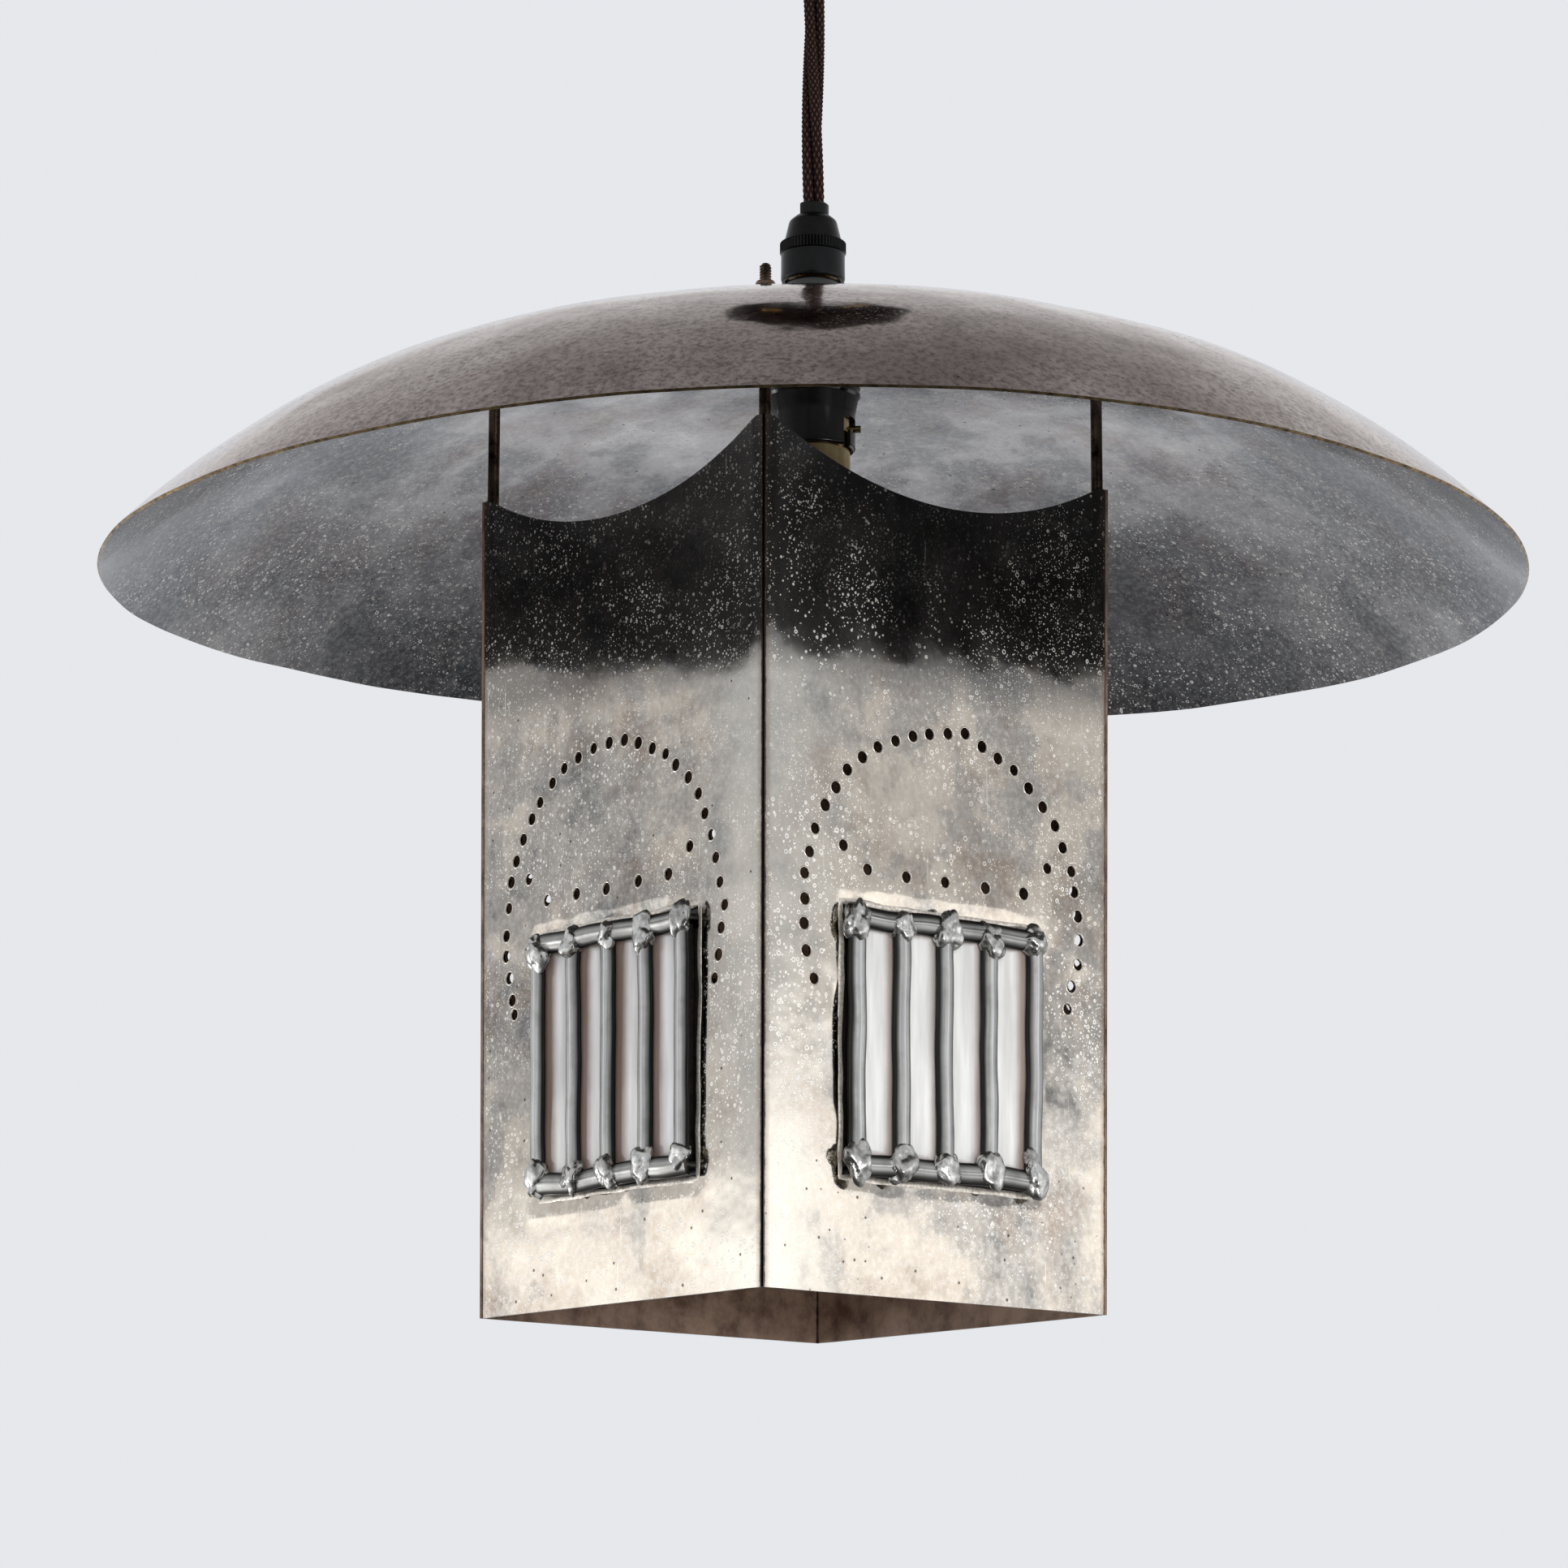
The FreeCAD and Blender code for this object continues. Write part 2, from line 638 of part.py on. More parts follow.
def came_section(sketch, middle, depth, upright):
    """H section of a lead came; depth is the outward direction, across is its width."""
    wide, heart = size.came_width / 2, size.came_heart / 2
    bevel, flange = size.came_bevel, size.came_flange
    front = depth
    back = depth + flange * 2 + size.came_channel
    corners = [
        (wide - bevel, front), (wide, front + bevel), (wide, front + flange),
        (heart, front + flange), (heart, back - flange), (wide, back - flange),
        (wide, back - bevel), (wide - bevel, back), (bevel - wide, back),
        (-wide, back - bevel), (-wide, back - flange), (-heart, back - flange),
        (-heart, front + flange), (-wide, front + flange), (-wide, front + bevel),
        (bevel - wide, front),
    ]
    if upright:
        draw_outline(sketch, [(middle + across, out) for across, out in corners])
    else:
        draw_outline(sketch, [(out, middle + across) for across, out in corners])


def make_window(face, turn):
    """Lead cames, glass strips and soldered joints in one face's opening."""
    frame_width = size.window_width - size.window_gap * 2
    frame_height = size.window_height - size.window_gap * 2
    low = size.window_sill + size.window_gap
    left = -(frame_width / 2)
    wide = size.came_width
    pitch = (frame_width - wide) / (UPRIGHTS - 1)
    front = -(size.side / 2) - size.came_proud
    where = (size.body_offset_x, size.body_offset_y, body_foot, turn)

    uprights = new_body("came_uprights_%s" % face)
    sketch = new_sketch(uprights, "XY_Plane")
    came_section(sketch, left + wide / 2, front, True)
    bar = pad(uprights, sketch, frame_height - wide * 2)
    sketch.AttachmentOffset = FreeCAD.Placement(
        FreeCAD.Vector(0, 0, value_of(low + wide)), FreeCAD.Rotation())
    bind(sketch, "AttachmentOffset.Base.z", low + wide)
    repeat(uprights, bar, sketch, "H_Axis", pitch * (UPRIGHTS - 1), UPRIGHTS)
    keep(place(uprights, *where))

    rails = new_body("came_rails_%s" % face)
    sketch = new_sketch(rails, "YZ_Plane")
    came_section(sketch, low + wide / 2, front, False)
    sketch.AttachmentOffset = FreeCAD.Placement(
        FreeCAD.Vector(0, 0, value_of(left)), FreeCAD.Rotation())
    bind(sketch, "AttachmentOffset.Base.z", left)
    bar = pad(rails, sketch, frame_width)
    repeat(rails, bar, sketch, "V_Axis", frame_height - wide, 2)
    keep(place(rails, *where))

    strips = new_body("glass_strips_%s" % face)
    sketch = new_sketch(strips, "XY_Plane")
    glass_left = left + wide / 2 + size.came_heart / 2 + size.glass_gap
    glass_width = pitch - size.came_heart - size.glass_gap * 2
    glass_front = (front + size.came_flange + size.came_channel - size.glass_back_gap
                   - size.glass_thickness)
    draw_outline(sketch, box_corners(glass_left, glass_left + glass_width,
                                     glass_front, glass_front + size.glass_thickness))
    rail_inset = wide / 2 + size.came_heart / 2 + size.glass_gap
    sketch.AttachmentOffset = FreeCAD.Placement(
        FreeCAD.Vector(0, 0, value_of(low + rail_inset)), FreeCAD.Rotation())
    bind(sketch, "AttachmentOffset.Base.z", low + rail_inset)
    strip = pad(strips, sketch, frame_height - rail_inset * 2)
    repeat(strips, strip, sketch, "H_Axis", pitch * (UPRIGHTS - 2), UPRIGHTS - 1)
    keep(place(strips, *where))

    rows = []
    for row, height in (("low", low + wide / 2),
                        ("high", low + frame_height - wide / 2)):
        blobs = new_body("solder_%s_%s" % (row, face))
        sketch = new_sketch(blobs, "XY_Plane")
        radius, rise = size.solder_radius, size.solder_height
        curve = (radius * radius + rise * rise) / (rise * 2)
        middle = left + wide / 2
        draw_outline(sketch, [(middle, front), (middle, front - rise, curve, 1),
                              (middle + radius, front)])
        turned = blobs.newObject("PartDesign::Revolution", "%s_turned" % blobs.Name)
        turned.Profile = sketch
        axis = sketch.addGeometry(
            Part.LineSegment(point(middle, front), point(middle, front - rise)), True)
        sketch.addConstraint(Sketcher.Constraint("Coincident", axis, 1, 0, 1))
        sketch.addConstraint(Sketcher.Constraint("Coincident", axis, 2, 0, 2))
        turned.ReferenceAxis = (sketch, ["Axis0"])
        turned.Angle = 360.0
        sketch.AttachmentOffset = FreeCAD.Placement(
            FreeCAD.Vector(0, 0, value_of(height)), FreeCAD.Rotation())
        bind(sketch, "AttachmentOffset.Base.z", height)
        repeat(blobs, turned, sketch, "H_Axis", pitch * (UPRIGHTS - 1), UPRIGHTS)
        rows.append(blobs)
    group("solder_joints_%s" % face, rows, *where)


def make_corners():
    """Rods, nuts above and below the shade, and solder seams."""
    upper, lower, seams = [], [], []
    for corner, sign_x, sign_y in CORNERS:
        x, y = corner_place(sign_x, sign_y)
        reach = distance(x, y)
        upper_seat = shade_top + crown_z(reach - size.nut_radius) + size.seat_gap
        lower_seat = (shade_top + shoulder_surface(reach + size.nut_radius, size.shade_sheet)
                      - size.seat_gap)
        rod_foot = body_foot + size.body_height - size.rod_lap
        rod_top = upper_seat + size.rod_above_nut + size.nut_height
        radius = size.rod_radius
        turned_part("corner_rod_%s" % corner, [
            (0.0, rod_foot), (radius, rod_foot), (radius, rod_top - radius / 2),
            (radius / 2, rod_top), (0.0, rod_top)], x, y)
        bore = radius + size.thread_clearance
        for name, seat, way, pieces in (("upper", upper_seat, 1.0, upper),
                                        ("lower", lower_seat, -1.0, lower)):
            nut = new_body("%s_nut_%s" % (name, corner))
            edge = seat + size.nut_edge * way
            crown = seat + size.nut_height * way
            revolve(nut, [(bore, seat), (size.nut_radius, seat), (size.nut_radius, edge),
                          (bore + size.nut_edge, crown), (bore, crown)])
            place(nut, x, y)
            pieces.append(nut)
        seam = new_body("seam_%s" % corner)
        sketch = new_sketch(seam, "XY_Plane")
        inside = size.side / 2 - size.body_sheet
        tip_x, tip_y = inside * sign_x, inside * sign_y
        draw_outline(sketch, [(tip_x, tip_y), (tip_x - size.seam_leg * sign_x, tip_y),
                              (tip_x, tip_y - size.seam_leg * sign_y)])
        pad(seam, sketch, size.body_height - size.rod_lap - size.fit_gap)
        seams.append(seam)
    group("rod_nuts_upper", upper)
    group("rod_nuts_lower", lower)
    group("corner_seams", seams, size.body_offset_x, size.body_offset_y, body_foot)


def make_lampholder():
    """Cap above the shade, threaded barrel below it, ring, contact block and plungers."""
    cap_foot = shade_top + crown_z(size.shade_hole_radius) + size.seat_gap
    cap_top = grip_foot - size.fit_gap
    bore = size.nipple_radius + size.thread_clearance
    wall = size.cap_wall
    thread_bore = size.thread_radius + size.thread_clearance
    thread_top = shade_top + size.thread_above_shade
    curve = size.cap_radius - size.cap_top_radius
    skirt_top = cap_foot + size.cap_skirt
    turned_part("lampholder_cap", [
        (thread_bore, cap_foot),
        (size.cap_radius, cap_foot),
        (size.cap_radius, skirt_top),
        (size.cap_radius - wall, skirt_top + wall),
        (size.cap_top_radius, cap_top),
        (bore, cap_top),
        (bore, cap_top - size.nipple_depth - wall),
        (size.cap_top_radius, cap_top - size.nipple_depth - wall),
        (thread_bore, thread_top + wall),
    ])
    turned_part("entry_nipple", [
        (size.nipple_bore_radius, cap_top - size.nipple_depth),
        (size.nipple_radius, cap_top - size.nipple_depth),
        (size.nipple_radius, grip_foot + size.nipple_reach),
        (size.nipple_bore_radius, grip_foot + size.nipple_reach),
    ])

    thread_foot = shade_top - size.thread_below_rim_top
    taper_foot = thread_foot - size.barrel_taper
    mouth = shade_top - size.barrel_drop
    seat = shade_top - size.block_seat
    barrel_bore = size.barrel_bore_radius
    block_bore = size.contact_block_radius + size.thread_clearance
    barrel = new_body("lampholder_barrel")
    revolve(barrel, [
        (barrel_bore, mouth),
        (size.barrel_radius, mouth),
        (size.barrel_radius, taper_foot),
        (size.thread_radius, thread_foot),
        (size.thread_radius, thread_top),
        (block_bore, thread_top),
        (block_bore, seat),
        (barrel_bore, seat),
    ])
    document.recompute()
    whole = barrel.Shape.Volume
    slot_top = pin_height + size.pin_radius + size.push_travel + size.pin_clearance * 2
    slot_foot = pin_height - size.pin_radius - size.pin_clearance
    way_in = new_sketch(barrel, "YZ_Plane")
    draw_outline(way_in, box_corners(-size.slot_width / 2, size.slot_width / 2,
                                     mouth - size.overrun, slot_top))
    cut_through(barrel, way_in)
    end_room = math.degrees(value_of(size.pin_radius + size.pin_clearance)
                            / value_of(barrel_bore))
    lock = new_sketch(barrel, "XZ_Plane")
    draw_outline(lock, box_corners(barrel_bore - size.pin_clearance,
                                   size.barrel_radius + size.overrun, slot_foot, slot_top))
    groove = barrel.newObject("PartDesign::Groove", "lock_groove")
    groove.Profile = lock
    groove.ReferenceAxis = (lock, ["V_Axis"])
    groove.Angle = TWIST_DEG + end_room
    groove.Reversed = False
    both = barrel.newObject("PartDesign::PolarPattern", "lock_grooves")
    both.Originals = [groove]
    both.Axis = (lock, ["V_Axis"])
    both.Angle = 360.0
    both.Occurrences = 2
    barrel.Tip = both
    document.recompute()
    if barrel.Shape.Volume >= whole:
        raise ValueError("the bayonet slots cut nothing")
    keep(place(barrel, turn=PIN_DEG - TWIST_DEG))

    sheet = size.shade_sheet
    ring_top = shade_top + crown_z(size.shade_ring_radius, sheet) - size.seat_gap
    ring_foot = ring_top - size.shade_ring_height
    turned_part("shade_ring", [
        (thread_bore, ring_foot), (size.shade_ring_radius, ring_foot),
        (size.shade_ring_radius, ring_top), (thread_bore, ring_top)])

    block = new_body("contact_block")
    sketch = new_sketch(block, "XY_Plane")
    draw_circle(sketch, 0.0, 0.0, size.contact_block_radius)
    pad(block, sketch, size.contact_block_height)
    document.recompute()
    solid = block.Shape.Volume
    bores = new_sketch(block, "XY_Plane")
    plunger_bore = size.plunger_radius + size.plunger_clearance
    for side in (-1.0, 1.0):
        draw_circle(bores, size.contact_spread * side, 0.0, plunger_bore)
    bored = block.newObject("PartDesign::Pocket", "plunger_bores")
    bored.Profile = bores
    bored.Reversed = True
    bind(bored, "Length", size.plunger_hold + size.spring_length)
    document.recompute()
    if block.Shape.Volume >= solid:
        raise ValueError("the plunger bores cut nothing")
    keep(place(block, z=seat + size.seat_gap))

    plungers, springs, screws, cores = [], [], [], []
    block_top = seat + size.seat_gap + size.contact_block_height
    tip = lamp_top + size.contact_height
    head = seat + size.seat_gap + size.plunger_hold
    spring_top = seat + size.seat_gap + size.plunger_hold + size.spring_length
    for name, side in (("left", -1.0), ("right", 1.0)):
        x = size.contact_spread * side
        radius = size.plunger_radius
        plunger = new_body("plunger_%s" % name)
        revolve(plunger, [(0.0, tip), (radius - size.spring_wall, tip),
                          (radius, tip + size.spring_wall), (radius, head), (0.0, head)])
        place(plunger, x)
        plungers.append(plunger)
        spring = new_body("spring_%s" % name)
        revolve(spring, [(radius - size.spring_wall, head), (radius, head),
                         (radius, spring_top), (radius - size.spring_wall, spring_top)])
        place(spring, x)
        springs.append(spring)
        screw = new_body("terminal_screw_%s" % name)
        screw_radius = size.terminal_screw_radius
        revolve(screw, [(0.0, block_top), (screw_radius, block_top),
                        (screw_radius, block_top + size.terminal_screw_height),
                        (0.0, block_top + size.terminal_screw_height)])
        place(screw, x)
        screws.append(screw)
        core = new_body("core_%s" % name)
        core_top = grip_foot + size.grip_wall * 2 - size.fit_gap
        revolve(core, [(0.0, block_top + size.seat_gap),
                       (size.core_radius, block_top + size.seat_gap),
                       (size.core_radius, core_top), (0.0, core_top)])
        place(core, size.core_offset * side)
        cores.append(core)
    group("contact_plungers", plungers)
    group("plunger_springs", springs)
    group("terminal_screws", screws)
    group("holder_cores", cores)


def make_lamp():
    """Bayonet lamp: brass cap, pins, insulator, contacts, glass, stem and filament."""
    radius, wall = size.lamp_cap_radius, size.lamp_cap_wall
    cap_foot = lamp_top - size.lamp_cap_height
    turned_part("lamp_cap", [
        (radius - wall, cap_foot), (radius, cap_foot), (radius, lamp_top - wall),
        (radius - wall, lamp_top), (radius - wall * 2, lamp_top),
        (radius - wall * 2, lamp_top - wall), (radius - wall, lamp_top - wall)])
    turned_part("lamp_insulator", [
        (0.0, lamp_top - wall - size.insulator_height),
        (radius - wall - size.seat_gap, lamp_top - wall - size.insulator_height),
        (radius - wall - size.seat_gap, lamp_top - wall - size.seat_gap),
        (radius - wall * 2 - size.seat_gap, lamp_top - wall - size.seat_gap),
        (radius - wall * 2 - size.seat_gap, lamp_top), (0.0, lamp_top)])
    contacts = []
    for name, side in (("left", -1.0), ("right", 1.0)):
        contact = new_body("contact_%s" % name)
        high = lamp_top + size.contact_height - size.seat_gap
        revolve(contact, [(0.0, lamp_top), (size.contact_radius, lamp_top),
                          (size.contact_radius - size.contact_height, high), (0.0, high)])
        place(contact, size.contact_spread * side)
        contacts.append(contact)
    group("lamp_contacts", contacts)

    pins = new_body("lamp_pins")
    sketch = new_sketch(pins, "YZ_Plane")
    draw_circle(sketch, 0.0, pin_height, size.pin_radius)
    sketch.AttachmentOffset = FreeCAD.Placement(
        FreeCAD.Vector(0, 0, value_of(radius)), FreeCAD.Rotation())
    bind(sketch, "AttachmentOffset.Base.z", radius)
    pin = pad(pins, sketch, size.pin_reach - radius)
    pair = pins.newObject("PartDesign::PolarPattern", "pin_pair")
    pair.Originals = [pin]
    pair.Axis = (origin_part(pins, "Z_Axis"), [""])
    pair.Angle = 360.0
    pair.Occurrences = 2
    pins.Tip = pair
    keep(place(pins, turn=PIN_DEG))

    glass = size.bulb_wall
    neck, bulb, curve = size.bulb_neck_radius, size.bulb_radius, size.bulb_neck_curve
    neck_top = cap_foot + size.bulb_lap
    curve_z = neck_top - size.bulb_neck_straight
    fall = root((bulb + curve) * (bulb + curve) - (neck + curve) * (neck + curve))
    middle = curve_z - fall
    share = bulb / (bulb + curve)
    meet_x, meet_z = (neck + curve) * share, middle + fall * share
    inner_share = (bulb - glass) / (bulb + curve)
    inner_x, inner_z = (neck + curve) * inner_share, middle + fall * inner_share
    turned_part("lamp_glass", [
        (neck - glass, neck_top),
        (neck - glass, curve_z, curve + glass, 1),
        (inner_x, inner_z, bulb - glass, -1),
        (bulb - glass, middle, bulb - glass, -1),
        (0.0, middle - bulb + glass),
        (0.0, middle - bulb, bulb, 1),
        (bulb, middle, bulb, 1),
        (meet_x, meet_z, curve, -1),
        (neck, curve_z),
        (neck, neck_top),
    ])
    stem_top = neck_top
    stem_foot = stem_top - size.stem_length
    stem = size.stem_radius
    turned_part("lamp_stem", [
        (0.0, stem_foot), (stem / 2, stem_foot), (stem / 2, stem_top - stem * 3),
        (neck - glass - size.seat_gap, stem_top - stem / 2),
        (neck - glass - size.seat_gap, stem_top), (0.0, stem_top)])
    ring = document.addObject("Part::Torus", "filament")
    ring.Label = "lamp_filament"
    bind(ring, "Radius1", size.filament_radius)
    bind(ring, "Radius2", size.wire_radius)
    ring.Angle3 = 270.0
    keep(place(ring, z=stem_foot + size.wire_radius))
    wires = []
    for name, angle in (("a", 0.0), ("b", 90.0), ("c", 180.0), ("d", 270.0)):
        wire = new_body("support_%s" % name)
        sketch = new_sketch(wire, "YZ_Plane")
        draw_circle(sketch, 0.0, 0.0, size.wire_radius)
        sketch.AttachmentOffset = FreeCAD.Placement(
            FreeCAD.Vector(0, 0, value_of(stem / 2)), FreeCAD.Rotation())
        bind(sketch, "AttachmentOffset.Base.z", stem / 2)
        pad(wire, sketch, size.filament_radius - stem / 2 - size.wire_radius)
        place(wire, z=stem_foot + size.wire_radius, turn=angle)
        wires.append(wire)
    group("filament_supports", wires)


make_rose()
make_flex()
make_cord_grip()
make_shade()
for face_name, face_turn, face_hand in FACES:
    make_panel(face_name, face_turn, face_hand)
    make_window(face_name, face_turn)
make_corners()
make_lampholder()
make_lamp()
document.recompute()

for thing in document.Objects:
    if "Invalid" in thing.State or "Error" in thing.State:
        raise ValueError("%s failed: %s" % (thing.Name, thing.State))
for node in nodes:
    if node.Shape.isNull() or not node.Shape.isValid() or not node.Shape.Solids:
        raise ValueError("%s has no sound shape" % node.Label)

os.makedirs("parts", exist_ok=True)
for node in nodes:
    node.Shape.exportStep(os.path.join("parts", "%s.step" % node.Label))
print("%d sub-parts" % len(nodes))
print("heights: shade top %.2f, rim %.2f, body foot %.2f, lamp top %.2f" % (
    shade_top.value, rim_height.value, body_foot.value, lamp_top.value))
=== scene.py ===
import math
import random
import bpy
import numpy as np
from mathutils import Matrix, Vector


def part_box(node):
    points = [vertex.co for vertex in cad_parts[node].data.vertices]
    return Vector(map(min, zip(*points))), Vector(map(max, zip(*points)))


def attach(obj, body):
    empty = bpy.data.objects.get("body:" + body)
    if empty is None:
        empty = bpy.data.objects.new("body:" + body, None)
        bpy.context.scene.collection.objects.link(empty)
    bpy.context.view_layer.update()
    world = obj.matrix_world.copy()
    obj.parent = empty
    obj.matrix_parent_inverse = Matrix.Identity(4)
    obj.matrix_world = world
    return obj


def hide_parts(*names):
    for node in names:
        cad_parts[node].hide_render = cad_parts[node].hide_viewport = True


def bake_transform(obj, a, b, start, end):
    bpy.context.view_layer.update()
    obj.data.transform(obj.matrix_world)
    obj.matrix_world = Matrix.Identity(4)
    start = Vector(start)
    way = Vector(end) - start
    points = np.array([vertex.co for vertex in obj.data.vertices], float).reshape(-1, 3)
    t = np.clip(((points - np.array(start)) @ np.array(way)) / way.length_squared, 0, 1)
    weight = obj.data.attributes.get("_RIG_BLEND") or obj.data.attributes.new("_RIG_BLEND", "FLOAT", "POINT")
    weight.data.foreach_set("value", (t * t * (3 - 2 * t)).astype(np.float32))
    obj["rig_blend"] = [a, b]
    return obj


bl_info = {
    "name": "Hanging punched lantern",
    "version": (1, 0, 0),
    "blender": (4, 5, 0),
    "location": "3D View > Sidebar > Lantern",
    "description": "Dresses the packed lantern: hand-worked sheet, leaded windows, lampholder and flex",
    "category": "Object",
}

from types import SimpleNamespace

import bmesh
import bpy
from mathutils import Matrix, Vector, noise

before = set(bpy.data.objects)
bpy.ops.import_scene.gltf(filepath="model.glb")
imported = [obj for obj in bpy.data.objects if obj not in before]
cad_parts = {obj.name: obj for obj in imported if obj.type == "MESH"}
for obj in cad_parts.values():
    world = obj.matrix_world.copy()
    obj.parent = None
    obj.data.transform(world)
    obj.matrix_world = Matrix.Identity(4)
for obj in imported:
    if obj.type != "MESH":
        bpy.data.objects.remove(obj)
# The vector noise takes its offsets from the clock unless it has a seed
noise.seed_set(7)

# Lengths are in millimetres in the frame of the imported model, and pieces are scaled to metres last.
MM = 0.001


def mm_box(node):
    low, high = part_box(node)
    return low / MM, high / MM


PANEL_LOW, PANEL_HIGH = mm_box("panel_front")
SIDE = PANEL_HIGH.x - PANEL_LOW.x
HALF = SIDE / 2
BODY_X = (PANEL_HIGH.x + PANEL_LOW.x) / 2
BODY_Y = PANEL_LOW.y + HALF
BODY_FOOT = PANEL_LOW.z
BODY_HEIGHT = PANEL_HIGH.z - PANEL_LOW.z
FACES = (("front", 0.0), ("right", 90.0), ("back", 180.0), ("left", 270.0))

# Painted shade on the plate under the shade, for its dark reflection: the band's foot and height
SHADE_BAND_FOOT = -276.0
SHADE_BAND_TALL = 72.0
# How far out from a window the solderer's cloth wiped, and how far in a corner's stain reaches
WIPED = 6.0
BORDER = 6.0
# How the body widens upwards: its width at the foot, as a share of the solids', and the growth
FOOT_SHARE = 0.9905
FLARE = 0.030
# How far the cut edge of a window strays
RAGGED = 0.45
# How far round from the front the photo's camera stands, in degrees
VIEW_TURN = 50.2
# Steps in a rounded corner of an outline
ROUND_STEPS = 4

# Curve of the shade, below its top: a flat crown that runs into a rounder shoulder
SHADE_RADIUS = 207.0
CROWN_CURVE = 600.0
SHOULDER_CURVE = 211.0
CROWN_EDGE = 85.0
SHADE_TOP = -161.7

# The bayonet: the height of the lamp's pins, where round the barrel its slots start, and how far
# round they run
PIN_HEIGHT = -184.3
SLOT_START = 14.0
SLOT_RUN = 35.6

# The flex's length, its braid's threads each way round a core, the length of a diamond of that
# braid, how far a thread stands up, and how many vertices go round a core
FLEX_LENGTH = 91.2
BRAID_THREADS = 7.0
BRAID_LAY = 3.0
BRAID_RISE = 0.00022
CORE_SIDES = 14

# The windows' opening and grid in a face: across from its middle and up from its foot
RAILS_LOW, RAILS_HIGH = mm_box("came_rails_front")
WINDOW_WIDE = RAILS_HIGH.x - RAILS_LOW.x + 0.4
WINDOW_TALL = 75.0
WINDOW_SILL = 31.7
UPRIGHTS = 5
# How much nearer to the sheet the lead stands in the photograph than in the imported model
SET_BACK = 2.2
# How much soft uprights and rails bend, how far painted shade covers a rail's ridge, and how far
# behind its ridge the face of a came reaches
BEND_OF_UPRIGHT = 0.5
BEND_OF_RAIL = 1.0
RAIL_SHADE = 0.34
FLANK_FOOT = -1.7

# The punched holes of the two kinds of face, where a hand-held punch set them: across from the
# middle of the face and up from its foot.
PUNCHED = (
    ((-47.3, 85.7), (-48.3, 89.9), (-49.6, 96.5), (-51.1, 103.0), (-51.0, 108.9), (-49.8, 116.8),
     (-48.7, 124.3), (-46.3, 130.1), (-43.0, 136.0), (-38.9, 141.4), (-35.1, 145.7),
     (-29.3, 150.5), (-23.7, 153.9), (-17.2, 156.0), (-10.2, 157.6), (-3.2, 158.1), (3.6, 157.9),
     (9.6, 156.1), (15.8, 153.6), (21.7, 151.1), (26.2, 147.3), (31.7, 142.9), (36.1, 137.7),
     (39.0, 131.7), (41.8, 125.4), (43.6, 118.8), (45.3, 111.8), (47.3, 105.2), (45.8, 99.1),
     (44.7, 91.8), (43.0, 85.5), (-40.1, 124.0), (-31.4, 116.7), (-17.9, 116.8), (-4.6, 116.5),
     (9.6, 116.8), (22.8, 117.0), (32.2, 123.5)),
    ((-46.0, 84.7), (-48.8, 92.1), (-49.6, 99.5), (-49.3, 106.3), (-49.4, 113.4), (-47.6, 119.5),
     (-45.6, 126.2), (-42.1, 133.1), (-38.3, 138.5), (-34.2, 144.0), (-28.8, 148.2),
     (-23.2, 151.8), (-16.8, 154.4), (-10.4, 156.6), (-4.3, 158.0), (2.6, 159.1), (9.0, 160.0),
     (15.4, 157.1), (21.3, 154.5), (27.3, 151.9), (32.8, 147.4), (38.1, 142.6), (42.8, 137.8),
     (45.8, 131.8), (49.2, 125.3), (50.3, 119.5), (51.8, 112.6), (52.3, 105.8), (52.0, 98.7),
     (49.5, 92.2), (48.0, 85.6), (-35.6, 122.7), (-26.8, 117.0), (-12.6, 116.5), (1.7, 116.7),
     (16.6, 116.8), (31.0, 116.8), (39.9, 125.1)),
)


def smooth_step(value, low, high):
    share = max(0.0, min(1.0, (value - low) / (high - low)))
    return share * share * (3 - 2 * share)


# Materials


def linear(code):
    """An sRGB hex colour as the linear colour that a shader takes."""
    parts = [int(code[i:i + 2], 16) / 255 for i in (0, 2, 4)]
    return tuple(
        part / 12.92 if part <= 0.04045 else ((part + 0.055) / 1.055) ** 2.4 for part in parts
    ) + (1.0,)


def new_material(name):
    material = bpy.data.materials.new(name)
    material.use_nodes = True
    tree = material.node_tree
    return material, tree, tree.nodes["Principled BSDF"]


def join(tree, node, links):
    """Feed a node's inputs, each named or numbered, with a value or with another's output."""
    for name, value in links.items():
        if isinstance(value, bpy.types.NodeSocket):
            tree.links.new(value, node.inputs[name])
        else:
            node.inputs[name].default_value = value


def add(tree, kind, links=None, stops=(), ease=False, **settings):
    """Add a node with its links and settings, and give back its outputs.

    The stops of a colour ramp are places with colours, or with plain numbers for greys.
    """
    node = tree.nodes.new("ShaderNode" + kind)
    for name, value in settings.items():
        setattr(node, name, value)
    if stops:
        band = node.color_ramp
        band.interpolation = "EASE" if ease else "LINEAR"
        while len(band.elements) < len(stops):
            band.elements.new(0.5)
        for element, (place, colour) in zip(band.elements, stops):
            element.position = place
            element.color = colour if isinstance(colour, tuple) else (colour,) * 3 + (1.0,)
    join(tree, node, links or {})
    return node.outputs


def object_space(tree, scale=(1.0, 1.0, 1.0), shift=(0.0, 0.0, 0.0)):
    """Object coordinates in metres, stretched and shifted."""
    place = add(tree, "TexCoord")["Object"]
    return add(tree, "Mapping", {"Vector": place, "Location": shift, "Scale": scale})["Vector"]


def cloud(place, size_mm, detail=3.0, rough=0.5):
    """Links of a noise whose features are this many millimetres apart."""
    return {"Vector": place, "Scale": 1.0 / (size_mm * MM), "Detail": detail, "Roughness": rough}


def patches(tree, place, size_mm, stops, detail=3.0, rough=0.5):
    """Soft patches of this size, with the colours or greys of their stops."""
    noise_value = add(tree, "TexNoise", cloud(place, size_mm, detail, rough))["Fac"]
    return add(tree, "ValToRGB", {"Fac": noise_value}, stops)[0]


